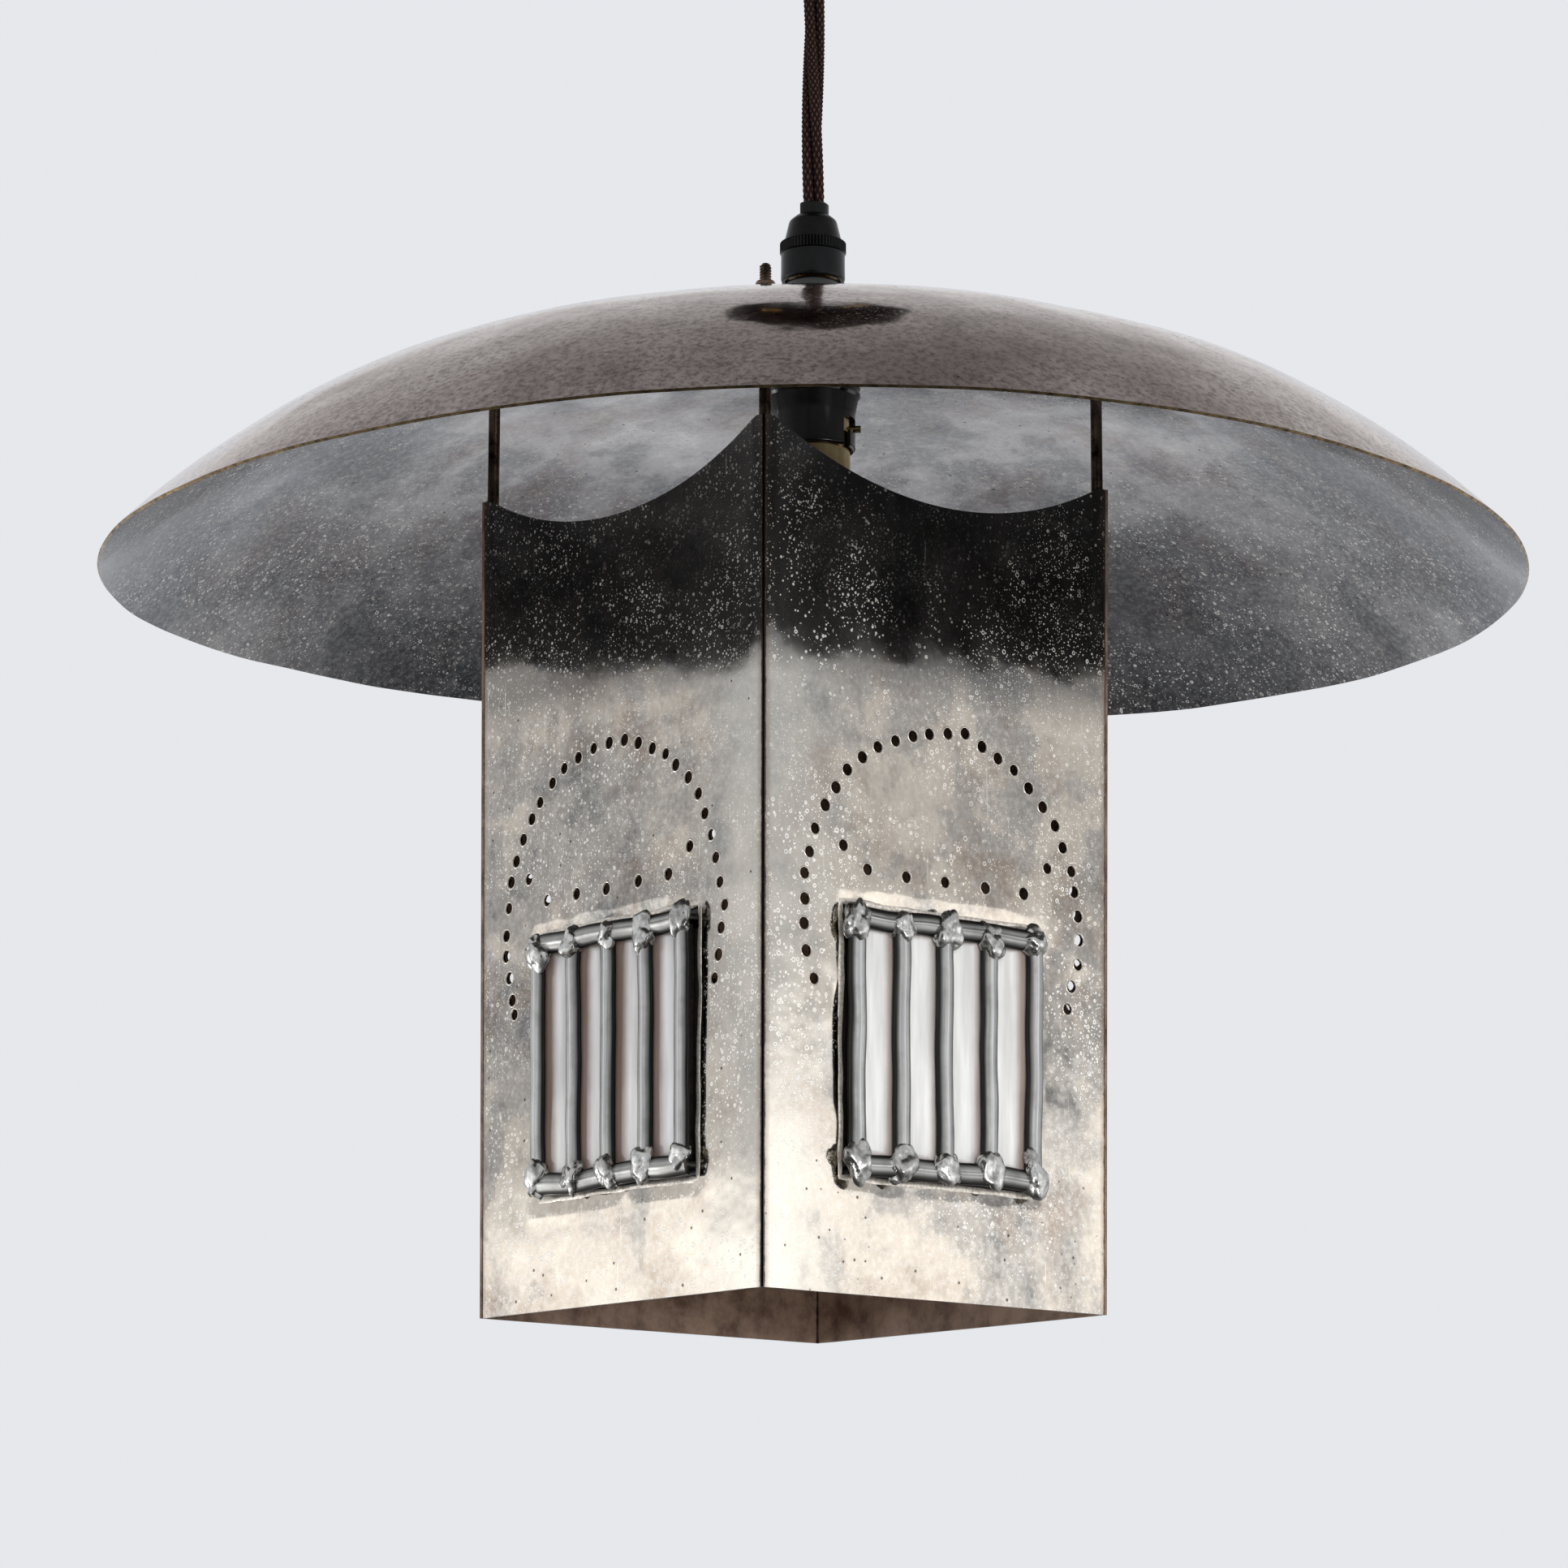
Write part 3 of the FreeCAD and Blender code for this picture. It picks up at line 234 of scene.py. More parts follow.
def laid_over(tree, base, *layers):
    """A colour with others laid over it in turn, each given as its share and its code."""
    for share, code in layers:
        base = add(tree, "Mix", {0: share, 6: base, 7: linear(code)}, data_type="RGBA")[2]
    return base


def speck_rings(tree, place, cell_mm, keep, inner, outer):
    """Rings left by drops of tarnish: some of the cells of a grid, each with a ring round it."""
    fade = 0.05
    cells = add(tree, "TexVoronoi", {
        "Vector": place, "Scale": 1.0 / (cell_mm * MM), "Randomness": 1.0}, feature="F1")
    chance = add(tree, "SeparateColor", {"Color": cells["Color"]})
    kept = add(tree, "Math", {0: chance["Red"], 1: keep}, operation="LESS_THAN")[0]
    size = add(tree, "Math", {0: chance["Green"], 1: 0.6, 2: 0.55}, operation="MULTIPLY_ADD")[0]
    distance = add(tree, "Math", {0: cells["Distance"], 1: size}, operation="DIVIDE")[0]
    ring = add(tree, "ValToRGB", {"Fac": distance}, (
        (max(inner - fade, 0.0), 0.0), (inner, 1.0), (outer, 1.0), (outer + fade, 0.0)))[0]
    return add(tree, "Math", {0: ring, 1: kept}, operation="MULTIPLY")[0]


def beside_axis(tree, place):
    """How far a point of the body's sheet is from the middle of its face, in metres."""
    parts = add(tree, "SeparateXYZ", {"Vector": place})
    reach = []
    for name, middle in (("X", BODY_X), ("Y", BODY_Y)):
        out = add(tree, "Math", {0: parts[name], 1: middle * MM}, operation="SUBTRACT")[0]
        reach.append(add(tree, "Math", {0: out}, operation="ABSOLUTE")[0])
    return add(tree, "Math", {0: reach[0], 1: reach[1]}, operation="MINIMUM")[0]


def corner_distance(tree, place):
    """How far a point of the body's sheet is from the nearest upright corner, in millimetres."""
    height = add(tree, "Math", {
        0: add(tree, "SeparateXYZ", {"Vector": place})["Z"], 1: BODY_FOOT * MM},
        operation="SUBTRACT")[0]
    grow = add(tree, "Math", {0: height, 1: FLARE / (BODY_HEIGHT * MM), 2: FOOT_SHARE},
               operation="MULTIPLY_ADD")[0]
    nearest = add(tree, "Math", {0: beside_axis(tree, place), 1: grow}, operation="DIVIDE")[0]
    left = add(tree, "Math", {0: HALF * MM, 1: nearest}, operation="SUBTRACT")[0]
    return add(tree, "Math", {0: left, 1: MM}, operation="DIVIDE")[0]


def window_reach(tree, place):
    """How far a point of the body's sheet is outside its window, in millimetres."""
    middle = BODY_FOOT + WINDOW_SILL + WINDOW_TALL / 2
    beside = add(tree, "Math", {0: beside_axis(tree, place), 1: WINDOW_WIDE / 2 * MM},
                 operation="SUBTRACT")[0]
    up = add(tree, "SeparateXYZ", {"Vector": place})["Z"]
    from_middle = add(tree, "Math", {0: up, 1: middle * MM}, operation="SUBTRACT")[0]
    above = add(tree, "Math", {
        0: add(tree, "Math", {0: from_middle}, operation="ABSOLUTE")[0],
        1: WINDOW_TALL / 2 * MM}, operation="SUBTRACT")[0]
    out = add(tree, "Math", {0: beside, 1: above}, operation="MAXIMUM")[0]
    return add(tree, "Math", {0: out, 1: MM}, operation="DIVIDE")[0]


def paint_corner_light_and_top_shade(tree, place, blotch, base, marks):
    """Painted highlight near the front right corner and a painted shade band under the shade."""
    parts = add(tree, "SeparateXYZ", {"Vector": place})
    # Painted highlight, growing towards the front right corner
    across = add(tree, "Math", {0: parts["X"], 1: parts["Y"]}, operation="SUBTRACT")[0]
    across = add(tree, "Math", {0: across, 1: (BODY_X - BODY_Y) * MM}, operation="SUBTRACT")[0]
    near_corner_share = add(tree, "Math", {0: across, 1: SIDE * MM}, operation="DIVIDE")[0]
    near_corner_share = add(tree, "Math", {0: blotch, 1: 0.12, 2: near_corner_share}, operation="MULTIPLY_ADD")[0]
    pale = add(tree, "ValToRGB", {"Fac": near_corner_share}, ((0.80, 0.0), (1.0, 0.55)))[0]
    # A band of painted shade under the shade, for the dark reflection of its underside
    height = add(tree, "Math", {0: parts["Z"], 1: SHADE_BAND_FOOT * MM}, operation="SUBTRACT")[0]
    reach = add(tree, "Math", {0: height, 1: SHADE_BAND_TALL * MM}, operation="DIVIDE")[0]
    reach = add(tree, "Math", {0: blotch, 1: 0.16, 2: reach}, operation="MULTIPLY_ADD")[0]
    top_shade = add(tree, "ValToRGB", {"Fac": reach}, ((0.06, 0.0), (0.22, 0.6), (1.0, 0.8)))[0]
    base = laid_over(tree, base, (pale, "DCD7CD"), (top_shade, "404247"))
    # The painted shade dims the marks, and the solderer's cloth kept them away from the windows
    dull = add(tree, "Math", {0: top_shade, 1: 0.35}, operation="MULTIPLY")[0]
    bright = add(tree, "Math", {0: 1.0, 1: dull}, operation="SUBTRACT")[0]
    marks = add(tree, "Math", {0: marks, 1: bright}, operation="MULTIPLY")[0]
    wiped = add(tree, "Math", {0: window_reach(tree, place), 1: WIPED}, operation="DIVIDE")[0]
    clean = add(tree, "ValToRGB", {"Fac": wiped}, ((0.15, 0.0), (0.85, 1.0)))[0]
    return base, add(tree, "Math", {0: marks, 1: clean}, operation="MULTIPLY")[0]


def blackened_corners(tree, place, colour, metal):
    """Fine drawn scratches, and black sulphide in the corner joints with a brown border."""
    drawn = object_space(tree, (1.0, 1.0, 0.05))
    scratch = patches(tree, drawn, 1.4, ((0.71, 0.0), (0.77, 0.6)), 2.0)
    ragged = add(tree, "TexNoise", cloud(place, 4.0, 3.0, 0.6))["Fac"]
    away = add(tree, "Math", {0: ragged, 1: 0.9, 2: corner_distance(tree, place)},
               operation="MULTIPLY_ADD")[0]
    away = add(tree, "Math", {0: away, 1: BORDER}, operation="DIVIDE")[0]
    brown = add(tree, "ValToRGB", {"Fac": away}, ((0.27, 0.75), (0.60, 0.0)))[0]
    black = add(tree, "ValToRGB", {"Fac": away}, ((0.27, 1.0), (0.32, 0.0)))[0]
    colour = laid_over(tree, colour, (scratch, "E6DFD4"), (brown, "8C7A6C"),
                       (black, "0C0A09"))
    lost = add(tree, "Math", {0: black, 1: 0.7}, operation="MULTIPLY")[0]
    left = add(tree, "Math", {0: 1.0, 1: lost}, operation="SUBTRACT")[0]
    return colour, add(tree, "Math", {0: metal, 1: left}, operation="MULTIPLY")[0]


def silver_plate(name, tones, stain, speck, roughness, specks, strength, matt=0.5, mottle=0.2,
                 corners=False, wavy=0.0, deep=0.0):
    """Silver plate over copper, planished by hand and long tarnished.

    It mirrors its surroundings a little blurred, in patches of warmer and colder silver with
    brownish stains. Tarnish has left pale rings and specks in clusters, and a few dark pits.
    """
    material, tree, shader = new_material(name)
    place = object_space(tree)
    broad = add(tree, "TexNoise", cloud(place, 50.0, 4.0, 0.55))["Fac"]
    blotch = add(tree, "TexNoise", cloud(place, 13.0, 5.0, 0.6))["Fac"]
    part = add(tree, "Math", {0: broad, 1: 0.6}, operation="MULTIPLY")[0]
    both = add(tree, "Math", {0: blotch, 1: 0.4, 2: part}, operation="MULTIPLY_ADD")[0]
    base = add(tree, "ValToRGB", {"Fac": both}, [
        (share, linear(tone)) for share, tone in zip((0.36, 0.47, 0.55, 0.66), tones)], True)[0]
    stains = object_space(tree, shift=(3.1, 1.7, 0.4))
    brownish = patches(tree, stains, 34.0, ((0.50, 0.0), (0.66, 0.6)), 5.0, 0.62)
    base = laid_over(tree, base, (brownish, stain))
    if deep:
        # Painted shade, darker towards the rim, standing for the dark room that the sheet mirrors there
        out = add(tree, "VectorMath", {0: object_space(tree, (1.0, 1.0, 0.0))},
                  operation="LENGTH")["Value"]
        share = add(tree, "Math", {0: out, 1: SHADE_RADIUS * MM}, operation="DIVIDE")[0]
        rim_shade = add(tree, "ValToRGB", {"Fac": share}, ((0.48, 0.0), (0.88, deep)), True)[0]
        base = laid_over(tree, base, (rim_shade, "36373C"))
    # Specks gather where the plate was splashed
    gather = patches(tree, place, 26.0, ((0.38, 0.12), (0.57, 1.0)), 4.0, 0.6)
    marks = speck_rings(tree, place, 2.5, specks * 0.8, 0.18, 0.24)
    for cell_mm, share in ((1.5, specks * 0.7), (0.8, specks)):
        smaller = speck_rings(tree, place, cell_mm, share, 0.0, 0.24)
        marks = add(tree, "Math", {0: marks, 1: smaller}, operation="MAXIMUM")[0]
    marks = add(tree, "Math", {0: marks, 1: gather}, operation="MULTIPLY")[0]
    marks = add(tree, "Math", {0: marks, 1: strength}, operation="MULTIPLY")[0]
    grains = patches(tree, place, 1.8, ((0.44, 0.0), (0.66, mottle)), 5.0, 0.65)
    base = laid_over(tree, base, (grains, speck))
    # The body's painted corner highlight and painted shade band
    if corners:
        base, marks = paint_corner_light_and_top_shade(tree, place, blotch, base, marks)
    pits = add(tree, "Math", {0: speck_rings(tree, place, 4.2, 0.3, 0.0, 0.08), 1: 0.8},
               operation="MULTIPLY")[0]
    colour = laid_over(tree, base, (marks, speck), (pits, "2A211C"))
    rough = add(tree, "Math", {0: blotch, 1: 0.16, 2: roughness - 0.08},
                operation="MULTIPLY_ADD")[0]
    dusty = add(tree, "Math", {0: marks, 1: 0.3}, operation="MULTIPLY")[0]
    rough = add(tree, "Math", {0: rough, 1: dusty}, operation="ADD", use_clamp=True)[0]
    lost = add(tree, "Math", {0: marks, 1: matt}, operation="MULTIPLY")[0]
    metal = add(tree, "Math", {0: 1.0, 1: lost}, operation="SUBTRACT", use_clamp=True)[0]
    if corners:
        colour, metal = blackened_corners(tree, place, colour, metal)
    # Raised marks, then the planishing hammer's shallow hollows, then slow waves
    normal = add(tree, "Bump", {"Strength": 0.3, "Distance": 0.1 * MM, "Height": dusty})[0]
    hollows = add(tree, "TexNoise", cloud(place, 11.0, 2.0))["Fac"]
    normal = add(tree, "Bump", {
        "Strength": 0.5, "Distance": 0.16 * MM, "Height": hollows, "Normal": normal})[0]
    if wavy:
        waves = add(tree, "TexNoise", cloud(place, 30.0, 1.5))["Fac"]
        normal = add(tree, "Bump", {
            "Strength": 1.0, "Distance": wavy * MM, "Height": waves, "Normal": normal})[0]
    join(tree, shader, {"Base Color": colour, "Metallic": metal, "Roughness": rough,
                        "Normal": normal})
    return material


def bare_metal(name, tone, shade, roughness, grain_mm=3.0, bump_mm=0.05, metallic=1.0):
    """Brass, copper, steel or solder: two tones in fine blotches, with a little relief."""
    material, tree, shader = new_material(name)
    blotch = add(tree, "TexNoise", cloud(object_space(tree), grain_mm, 5.0, 0.65))["Fac"]
    colour = add(tree, "ValToRGB", {"Fac": blotch}, (
        (0.35, linear(shade)), (0.62, linear(tone))))[0]
    rough = add(tree, "Math", {0: blotch, 1: -0.2, 2: roughness + 0.1},
                operation="MULTIPLY_ADD")[0]
    normal = add(tree, "Bump", {"Strength": 0.6, "Distance": bump_mm * MM, "Height": blotch})[0]
    join(tree, shader, {"Base Color": colour, "Metallic": metallic, "Roughness": rough,
                        "Normal": normal})
    return material


def drawn_lead(name):
    """Lead came drawn through a mill: fine lines along it, dull grey, painted light and shade.

    The run attribute holds a point's place across, out of and along its bar, and flank how far
    it is from the ridge.
    """
    material, tree, shader = new_material(name)
    run = add(tree, "Attribute", attribute_name="run")["Vector"]
    flank = add(tree, "Attribute", attribute_name="flank")["Fac"]
    long = add(tree, "Mapping", {"Vector": run, "Scale": (1.0, 1.0, 0.02)})["Vector"]
    lines = add(tree, "TexNoise", cloud(long, 1.0, 2.0))["Fac"]
    blotch = add(tree, "TexNoise", cloud(run, 7.0, 4.0, 0.6))["Fac"]
    colour = add(tree, "ValToRGB", {"Fac": lines}, (
        (0.30, linear("8C8B88")), (0.5, linear("AAA9A5")), (0.70, linear("C6C5C1"))))[0]
    # Blotched, with a painted highlight on the ridge and painted shade on the flanks
    flank = add(tree, "Math", {0: lines, 1: 0.2, 2: flank}, operation="MULTIPLY_ADD")[0]
    for factor, stops, code in ((blotch, ((0.45, 0.0), (0.75, 0.5)), "6C6A68"),
                                (flank, ((0.10, 0.55), (0.45, 0.0)), "E2E3E4"),
                                (flank, ((0.60, 0.0), (1.0, 0.92)), "1B1A1A")):
        share = add(tree, "ValToRGB", {"Fac": factor}, stops)[0]
        colour = laid_over(tree, colour, (share, code))
    rough = add(tree, "Math", {0: blotch, 1: 0.25, 2: 0.20}, operation="MULTIPLY_ADD")[0]
    normal = add(tree, "Bump", {"Strength": 0.4, "Distance": 0.07 * MM, "Height": lines})[0]
    join(tree, shader, {"Base Color": colour, "Metallic": 1.0, "Roughness": rough,
                        "Normal": normal})
    return material


def channel_shade_finish(name):
    """Painted shade in the channel of a came: near-black and matt, with a fine grain."""
    material, tree, shader = new_material(name)
    colour = patches(tree, object_space(tree), 1.2, (
        (0.35, linear("060505")), (0.7, linear("1C1512"))), 4.0, 0.6)
    join(tree, shader, {"Base Color": colour, "Roughness": 0.75})
    return material


def opal_glass(name):
    """Streaky opal glass: milky and glossy, with painted shade down one side, browner at its ends.

    The run attribute holds a point's place across and along its strip, as shares of its size,
    and between them how strong its painted shade is.
    """
    material, tree, shader = new_material(name)
    run = add(tree, "Attribute", attribute_name="run")["Vector"]
    parts = add(tree, "SeparateXYZ", {"Vector": run})
    ragged = add(tree, "TexNoise", cloud(object_space(tree), 6.0, 4.0, 0.6))["Fac"]
    ends = add(tree, "Math", {0: parts["Z"]}, operation="ABSOLUTE")[0]
    ends = add(tree, "Math", {0: ragged, 1: 0.06, 2: ends}, operation="MULTIPLY_ADD")[0]
    ends_and_shade = add(tree, "ValToRGB", {"Fac": ends}, ((0.93, 0.0), (1.01, 0.9)))[0]
    # A strip with stronger painted shade has a wider shaded side
    sides = add(tree, "Math", {0: ragged, 1: 0.12, 2: parts["X"]}, operation="MULTIPLY_ADD")[0]
    wider = add(tree, "Math", {0: parts["Y"], 1: 1.2, 2: -0.78}, operation="MULTIPLY_ADD")[0]
    sides = add(tree, "Math", {0: sides, 1: wider}, operation="ADD")[0]
    brown = add(tree, "ValToRGB", {"Fac": sides}, ((0.20, 0.0), (0.78, 0.95)), True)[0]
    brown = add(tree, "Math", {0: brown, 1: parts["Y"]}, operation="MULTIPLY")[0]
    milk = patches(tree, object_space(tree, (1.0, 1.0, 0.12)), 4.0, (
        (0.35, linear("D6D5D3")), (0.65, linear("F1F0EE"))))
    ends_and_shade = add(tree, "Math", {0: ends_and_shade, 1: brown}, operation="MAXIMUM")[0]
    join(tree, shader, {"Base Color": laid_over(tree, milk, (ends_and_shade, "6B4026")), "Roughness": 0.12,
                        "IOR": 1.5, "Coat Weight": 0.4, "Coat Roughness": 0.05})
    return material


def phenolic(name, tone, scuff, roughness, gloss=0.13):
    """Pressed phenolic plastic: almost black, glossy from its mould, with fine dulled scuffs."""
    material, tree, shader = new_material(name)
    place = object_space(tree)
    scuffs = add(tree, "TexNoise", cloud(place, 6.0, 4.0, 0.6))["Fac"]
    fine = add(tree, "TexNoise", cloud(place, 0.6, 2.0))["Fac"]
    colour = add(tree, "ValToRGB", {"Fac": scuffs}, (
        (0.4, linear(tone)), (0.75, linear(scuff))))[0]
    rough = add(tree, "Math", {0: scuffs, 1: 0.25, 2: roughness - 0.1},
                operation="MULTIPLY_ADD")[0]
    normal = add(tree, "Bump", {"Strength": 0.12, "Distance": 0.05 * MM, "Height": fine})[0]
    join(tree, shader, {"Base Color": colour, "Roughness": rough, "IOR": 1.6,
                        "Specular IOR Level": gloss, "Normal": normal})
    return material


def braided_cotton(name):
    """Braided cotton over a rubber core: crossing threads, matt and a little hairy.

    The braid's diamonds are about 1 mm long and are drawn coarser, so that they show.
    """
    material, tree, shader = new_material(name)
    spot = add(tree, "UVMap", uv_map="braid")["UV"]
    parts = add(tree, "SeparateXYZ", {"Vector": spot})
    threads = add(tree, "Math", {0: parts["X"], 1: BRAID_THREADS}, operation="MULTIPLY")[0]
    lay = add(tree, "Math", {0: parts["Y"], 1: 1.0 / BRAID_LAY}, operation="MULTIPLY")[0]
    waves = []
    for way in ("ADD", "SUBTRACT"):
        phase = add(tree, "Math", {0: threads, 1: lay}, operation=way)[0]
        angle = add(tree, "Math", {0: phase, 1: math.tau}, operation="MULTIPLY")[0]
        wave = add(tree, "Math", {0: angle}, operation="SINE")[0]
        waves.append(add(tree, "Math", {0: wave, 1: 0.5, 2: 0.5}, operation="MULTIPLY_ADD")[0])
    weave = add(tree, "Math", {0: waves[0], 1: waves[1]}, operation="MULTIPLY")[0]
    colour = add(tree, "ValToRGB", {"Fac": weave}, (
        (0.0, linear("0B0605")), (0.35, linear("2F1D19")), (1.0, linear("5E463B"))))[0]
    tone = add(tree, "TexNoise", cloud(object_space(tree), 5.0))["Fac"]
    # Painted shade between the cores, where they touch
    core_contact_shade = add(tree, "Attribute", attribute_name="core_contact_shade")["Fac"]
    for factor, most, code in ((tone, 0.3, "2C1C1A"), (core_contact_shade, 0.85, "070403")):
        share = add(tree, "Math", {0: factor, 1: most}, operation="MULTIPLY")[0]
        colour = laid_over(tree, colour, (share, code))
    normal = add(tree, "Bump", {"Strength": 0.9, "Distance": 0.2 * MM, "Height": weave})[0]
    join(tree, shader, {"Base Color": colour, "Roughness": 0.9, "Specular IOR Level": 0.2,
                        "Normal": normal})
    return material


def clear_glass(name):
    """Blown soda-lime glass of the lamp: clear, thin and very smooth."""
    material, tree, shader = new_material(name)
    rough = patches(tree, object_space(tree), 18.0, ((0.4, 0.01), (0.8, 0.06)))
    join(tree, shader, {"Base Color": linear("F4F6F6"), "Roughness": rough, "IOR": 1.5,
                        "Transmission Weight": 1.0})
    return material


def glazed_porcelain(name, tone):
    """Glazed porcelain of an insulator: off-white, glossy, with a faint speckle."""
    material, tree, shader = new_material(name)
    colour = patches(tree, object_space(tree), 1.5, (
        (0.3, linear("B9B3A6")), (0.45, linear(tone))), 3.0, 0.6)
    join(tree, shader, {"Base Color": colour, "Roughness": 0.2, "IOR": 1.5,
                        "Coat Weight": 0.5})
    return material


# The materials, by the short names that the pieces use; the finishes operator fills it in
finishes = {}


# Shaping


def soften(outline):
    """Round the corners of an outline: a corner's third number is how far the rounding reaches."""
    points = []
    for number, corner in enumerate(outline):
        here = Vector(corner[:2])
        if len(corner) < 3:
            points.append(tuple(here))
            continue
        before = (Vector(outline[number - 1][:2]) - here).normalized() * corner[2]
        after = (Vector(outline[(number + 1) % len(outline)][:2]) - here).normalized() * corner[2]
        for step in range(ROUND_STEPS + 1):
            share = step / ROUND_STEPS
            points.append(tuple(here + before * (1 - share) ** 2 + after * share ** 2))
    return points


def turn(bm, outline, steps=96, closed=True):
    """Spin an outline of (radius, height) points about the Z axis."""
    corners = [bm.verts.new((radius, 0.0, height)) for radius, height in outline]
    edges = [bm.edges.new(pair) for pair in zip(corners, corners[1:])]
    if closed:
        edges.append(bm.edges.new((corners[-1], corners[0])))
    bmesh.ops.spin(bm, geom=corners + edges, cent=(0, 0, 0), axis=(0, 0, 1), dvec=(0, 0, 0),
                   angle=math.tau, steps=steps, use_merge=True, use_duplicate=False)


def settle(bm):
    """Merge what spinning left double and turn the faces outwards."""
    bmesh.ops.remove_doubles(bm, verts=bm.verts, dist=0.002)
    bmesh.ops.dissolve_degenerate(bm, edges=bm.edges, dist=0.001)
    bmesh.ops.recalc_face_normals(bm, faces=bm.faces)


def pour(bm, small):
    """Add a small bmesh's shape to another and free it."""
    scratch = bpy.data.meshes.new("scratch")
    small.to_mesh(scratch)
    small.free()
    bm.from_mesh(scratch)
    bpy.data.meshes.remove(scratch)


def new_object(name, bm, *finish_names):
    """Link a bmesh's shape as an object in these of the finishes."""
    mesh = bpy.data.meshes.new(name)
    bm.to_mesh(mesh)
    bm.free()
    for finish in finish_names:
        mesh.materials.append(finishes[finish])
    piece = bpy.data.objects.new(name, mesh)
    bpy.context.scene.collection.objects.link(piece)
    return piece


def cut_out(piece, tool):
    """Cut one object's shape out of another's for good."""
    cutter = piece.modifiers.new("cut", "BOOLEAN")
    cutter.object = tool
    cutter.operation = "DIFFERENCE"
    cutter.solver = "EXACT"
    cutter.material_mode = "TRANSFER"
    bpy.context.view_layer.update()
    graph = bpy.context.evaluated_depsgraph_get()
    made = bpy.data.meshes.new_from_object(piece.evaluated_get(graph))
    piece.modifiers.clear()
    whole = piece.data
    piece.data = made
    bpy.data.meshes.remove(whole)
    bpy.data.objects.remove(tool)


def dress(piece, body, node, sharp=40.0, flared=False):
    """Scale a finished piece to metres, smooth it and let it ride on its body."""
    mesh = piece.data
    if flared:
        for vertex in mesh.vertices:
            vertex.co = flare(vertex.co)
    mesh.transform(Matrix.Scale(MM, 4))
    for face in mesh.polygons:
        face.use_smooth = True
    mesh.set_sharp_from_angle(angle=math.radians(sharp))
    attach(piece, body)
    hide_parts(node)


def turned_piece(name, outline, body, finish, node, steps=96, shape=None, sharp=40.0,
                 at=(0.0, 0.0)):
    """A piece made on a lathe from a closed outline of (radius, height, rounding) corners."""
    bm = bmesh.new()
    turn(bm, soften(outline), steps)
    settle(bm)
    if shape:
        for vertex in bm.verts:
            vertex.co = shape(vertex.co)
    bmesh.ops.translate(bm, verts=bm.verts, vec=(at[0], at[1], 0.0))
    dress(new_object(name, bm, finish), body, node, sharp)


def ring_of(bm, places):
    """New vertices in a ring, and the edges that join them."""
    ring = [bm.verts.new(place) for place in places]
    return ring, [bm.edges.new(pair) for pair in zip(ring, ring[1:] + ring[:1])]


def ridged(low, high, least, count, depth):
    """A shape change: upright ridges round a turned piece between two heights."""
    def change(place):
        radius = math.hypot(place.x, place.y)
        if low <= place.z <= high and radius >= least:
            wave = 0.5 + 0.5 * math.cos(count * math.atan2(place.y, place.x))
            share = (radius - depth * wave) / radius
            return Vector((place.x * share, place.y * share, place.z))
        return place
    return change


def threaded(low, high, least, pitch, depth):
    """A shape change: a screw thread round a turned piece between two heights."""
    def change(place):
        radius = math.hypot(place.x, place.y)
        if low <= place.z <= high and radius >= least:
            angle = math.atan2(place.y, place.x) / math.tau
            wave = 0.5 + 0.5 * math.cos(math.tau * (place.z / pitch - angle))
            fade = smooth_step(min(place.z - low, high - place.z), 0.0, pitch * 0.5)
            share = (radius - depth * wave * fade) / radius
            return Vector((place.x * share, place.y * share, place.z))
        return place
    return change


def stepped(radius, low, high, step):
    """Points up a straight wall, close enough together to take a thread."""
    count = max(1, round((high - low) / step))
    return [(radius, low + (high - low) * number / count) for number in range(count + 1)]


def dome_height(radius, inset=0.0):
    """Height of the shade's outer face at a radius, or of a face set into the sheet."""
    share = CROWN_EDGE / CROWN_CURVE
    edge_cos = math.sqrt(1 - share ** 2)
    middle_x = (CROWN_CURVE - SHOULDER_CURVE) * share
    middle_z = -CROWN_CURVE + (CROWN_CURVE - SHOULDER_CURVE) * edge_cos
    if radius <= (CROWN_CURVE - inset) * share:
        rise = math.sqrt((CROWN_CURVE - inset) ** 2 - radius ** 2) - CROWN_CURVE
    else:
        rise = middle_z + math.sqrt((SHOULDER_CURVE - inset) ** 2 - (radius - middle_x) ** 2)
    return SHADE_TOP + rise


def on_face(turn_deg):
    """From a face's own place (across, out of the plane, up) to the model's frame."""
    return (Matrix.Translation((BODY_X, BODY_Y, BODY_FOOT))
            @ Matrix.Rotation(math.radians(turn_deg), 4, "Z"))


def window_distance(across, up):
    """How far outside the window's opening a point of a face is."""
    beyond_x = max(abs(across) - WINDOW_WIDE / 2, 0.0)
    middle = WINDOW_SILL + WINDOW_TALL / 2
    beyond_z = max(abs(up - middle) - WINDOW_TALL / 2, 0.0)
    return math.hypot(beyond_x, beyond_z)


def sheet_rise(across, up, seed):
    """How far a face's sheet stands out of flat where hand work has left it uneven."""
    from_edge = HALF - abs(across)
    edge = smooth_step(from_edge, 0.0, 14.0)
    broad = noise.noise(Vector((across / 60, up / 60, seed)))
    small = noise.noise(Vector((across / 15, up / 15, seed + 7.3)))
    pressed = window_distance(across, up)
    uneven = 0.6 + 1.4 * noise.noise(Vector((across / 10, up / 10, seed + 3.1)))
    swell = 0.20 * uneven * math.exp(-((pressed - 4.0) / 2.2) ** 2)
    dish = -0.5 * uneven * math.exp(-(pressed / 3.0) ** 2)
    curl = -0.55 * (1 - smooth_step(from_edge, 0.0, 6.0))
    return (0.7 * broad + 0.10 * small + swell + dish) * edge + curl


def punch_places(number):
    """Centres and radii of a face's punched holes; the far faces stray a little from the near."""
    chance = random.Random(40 + number)
    stray = 0.0 if number < 2 else 0.7
    return [(across + chance.uniform(-stray, stray), up + chance.uniform(-stray, stray),
             1.74 + chance.uniform(-0.12, 0.1)) for across, up in PUNCHED[number % 2]]


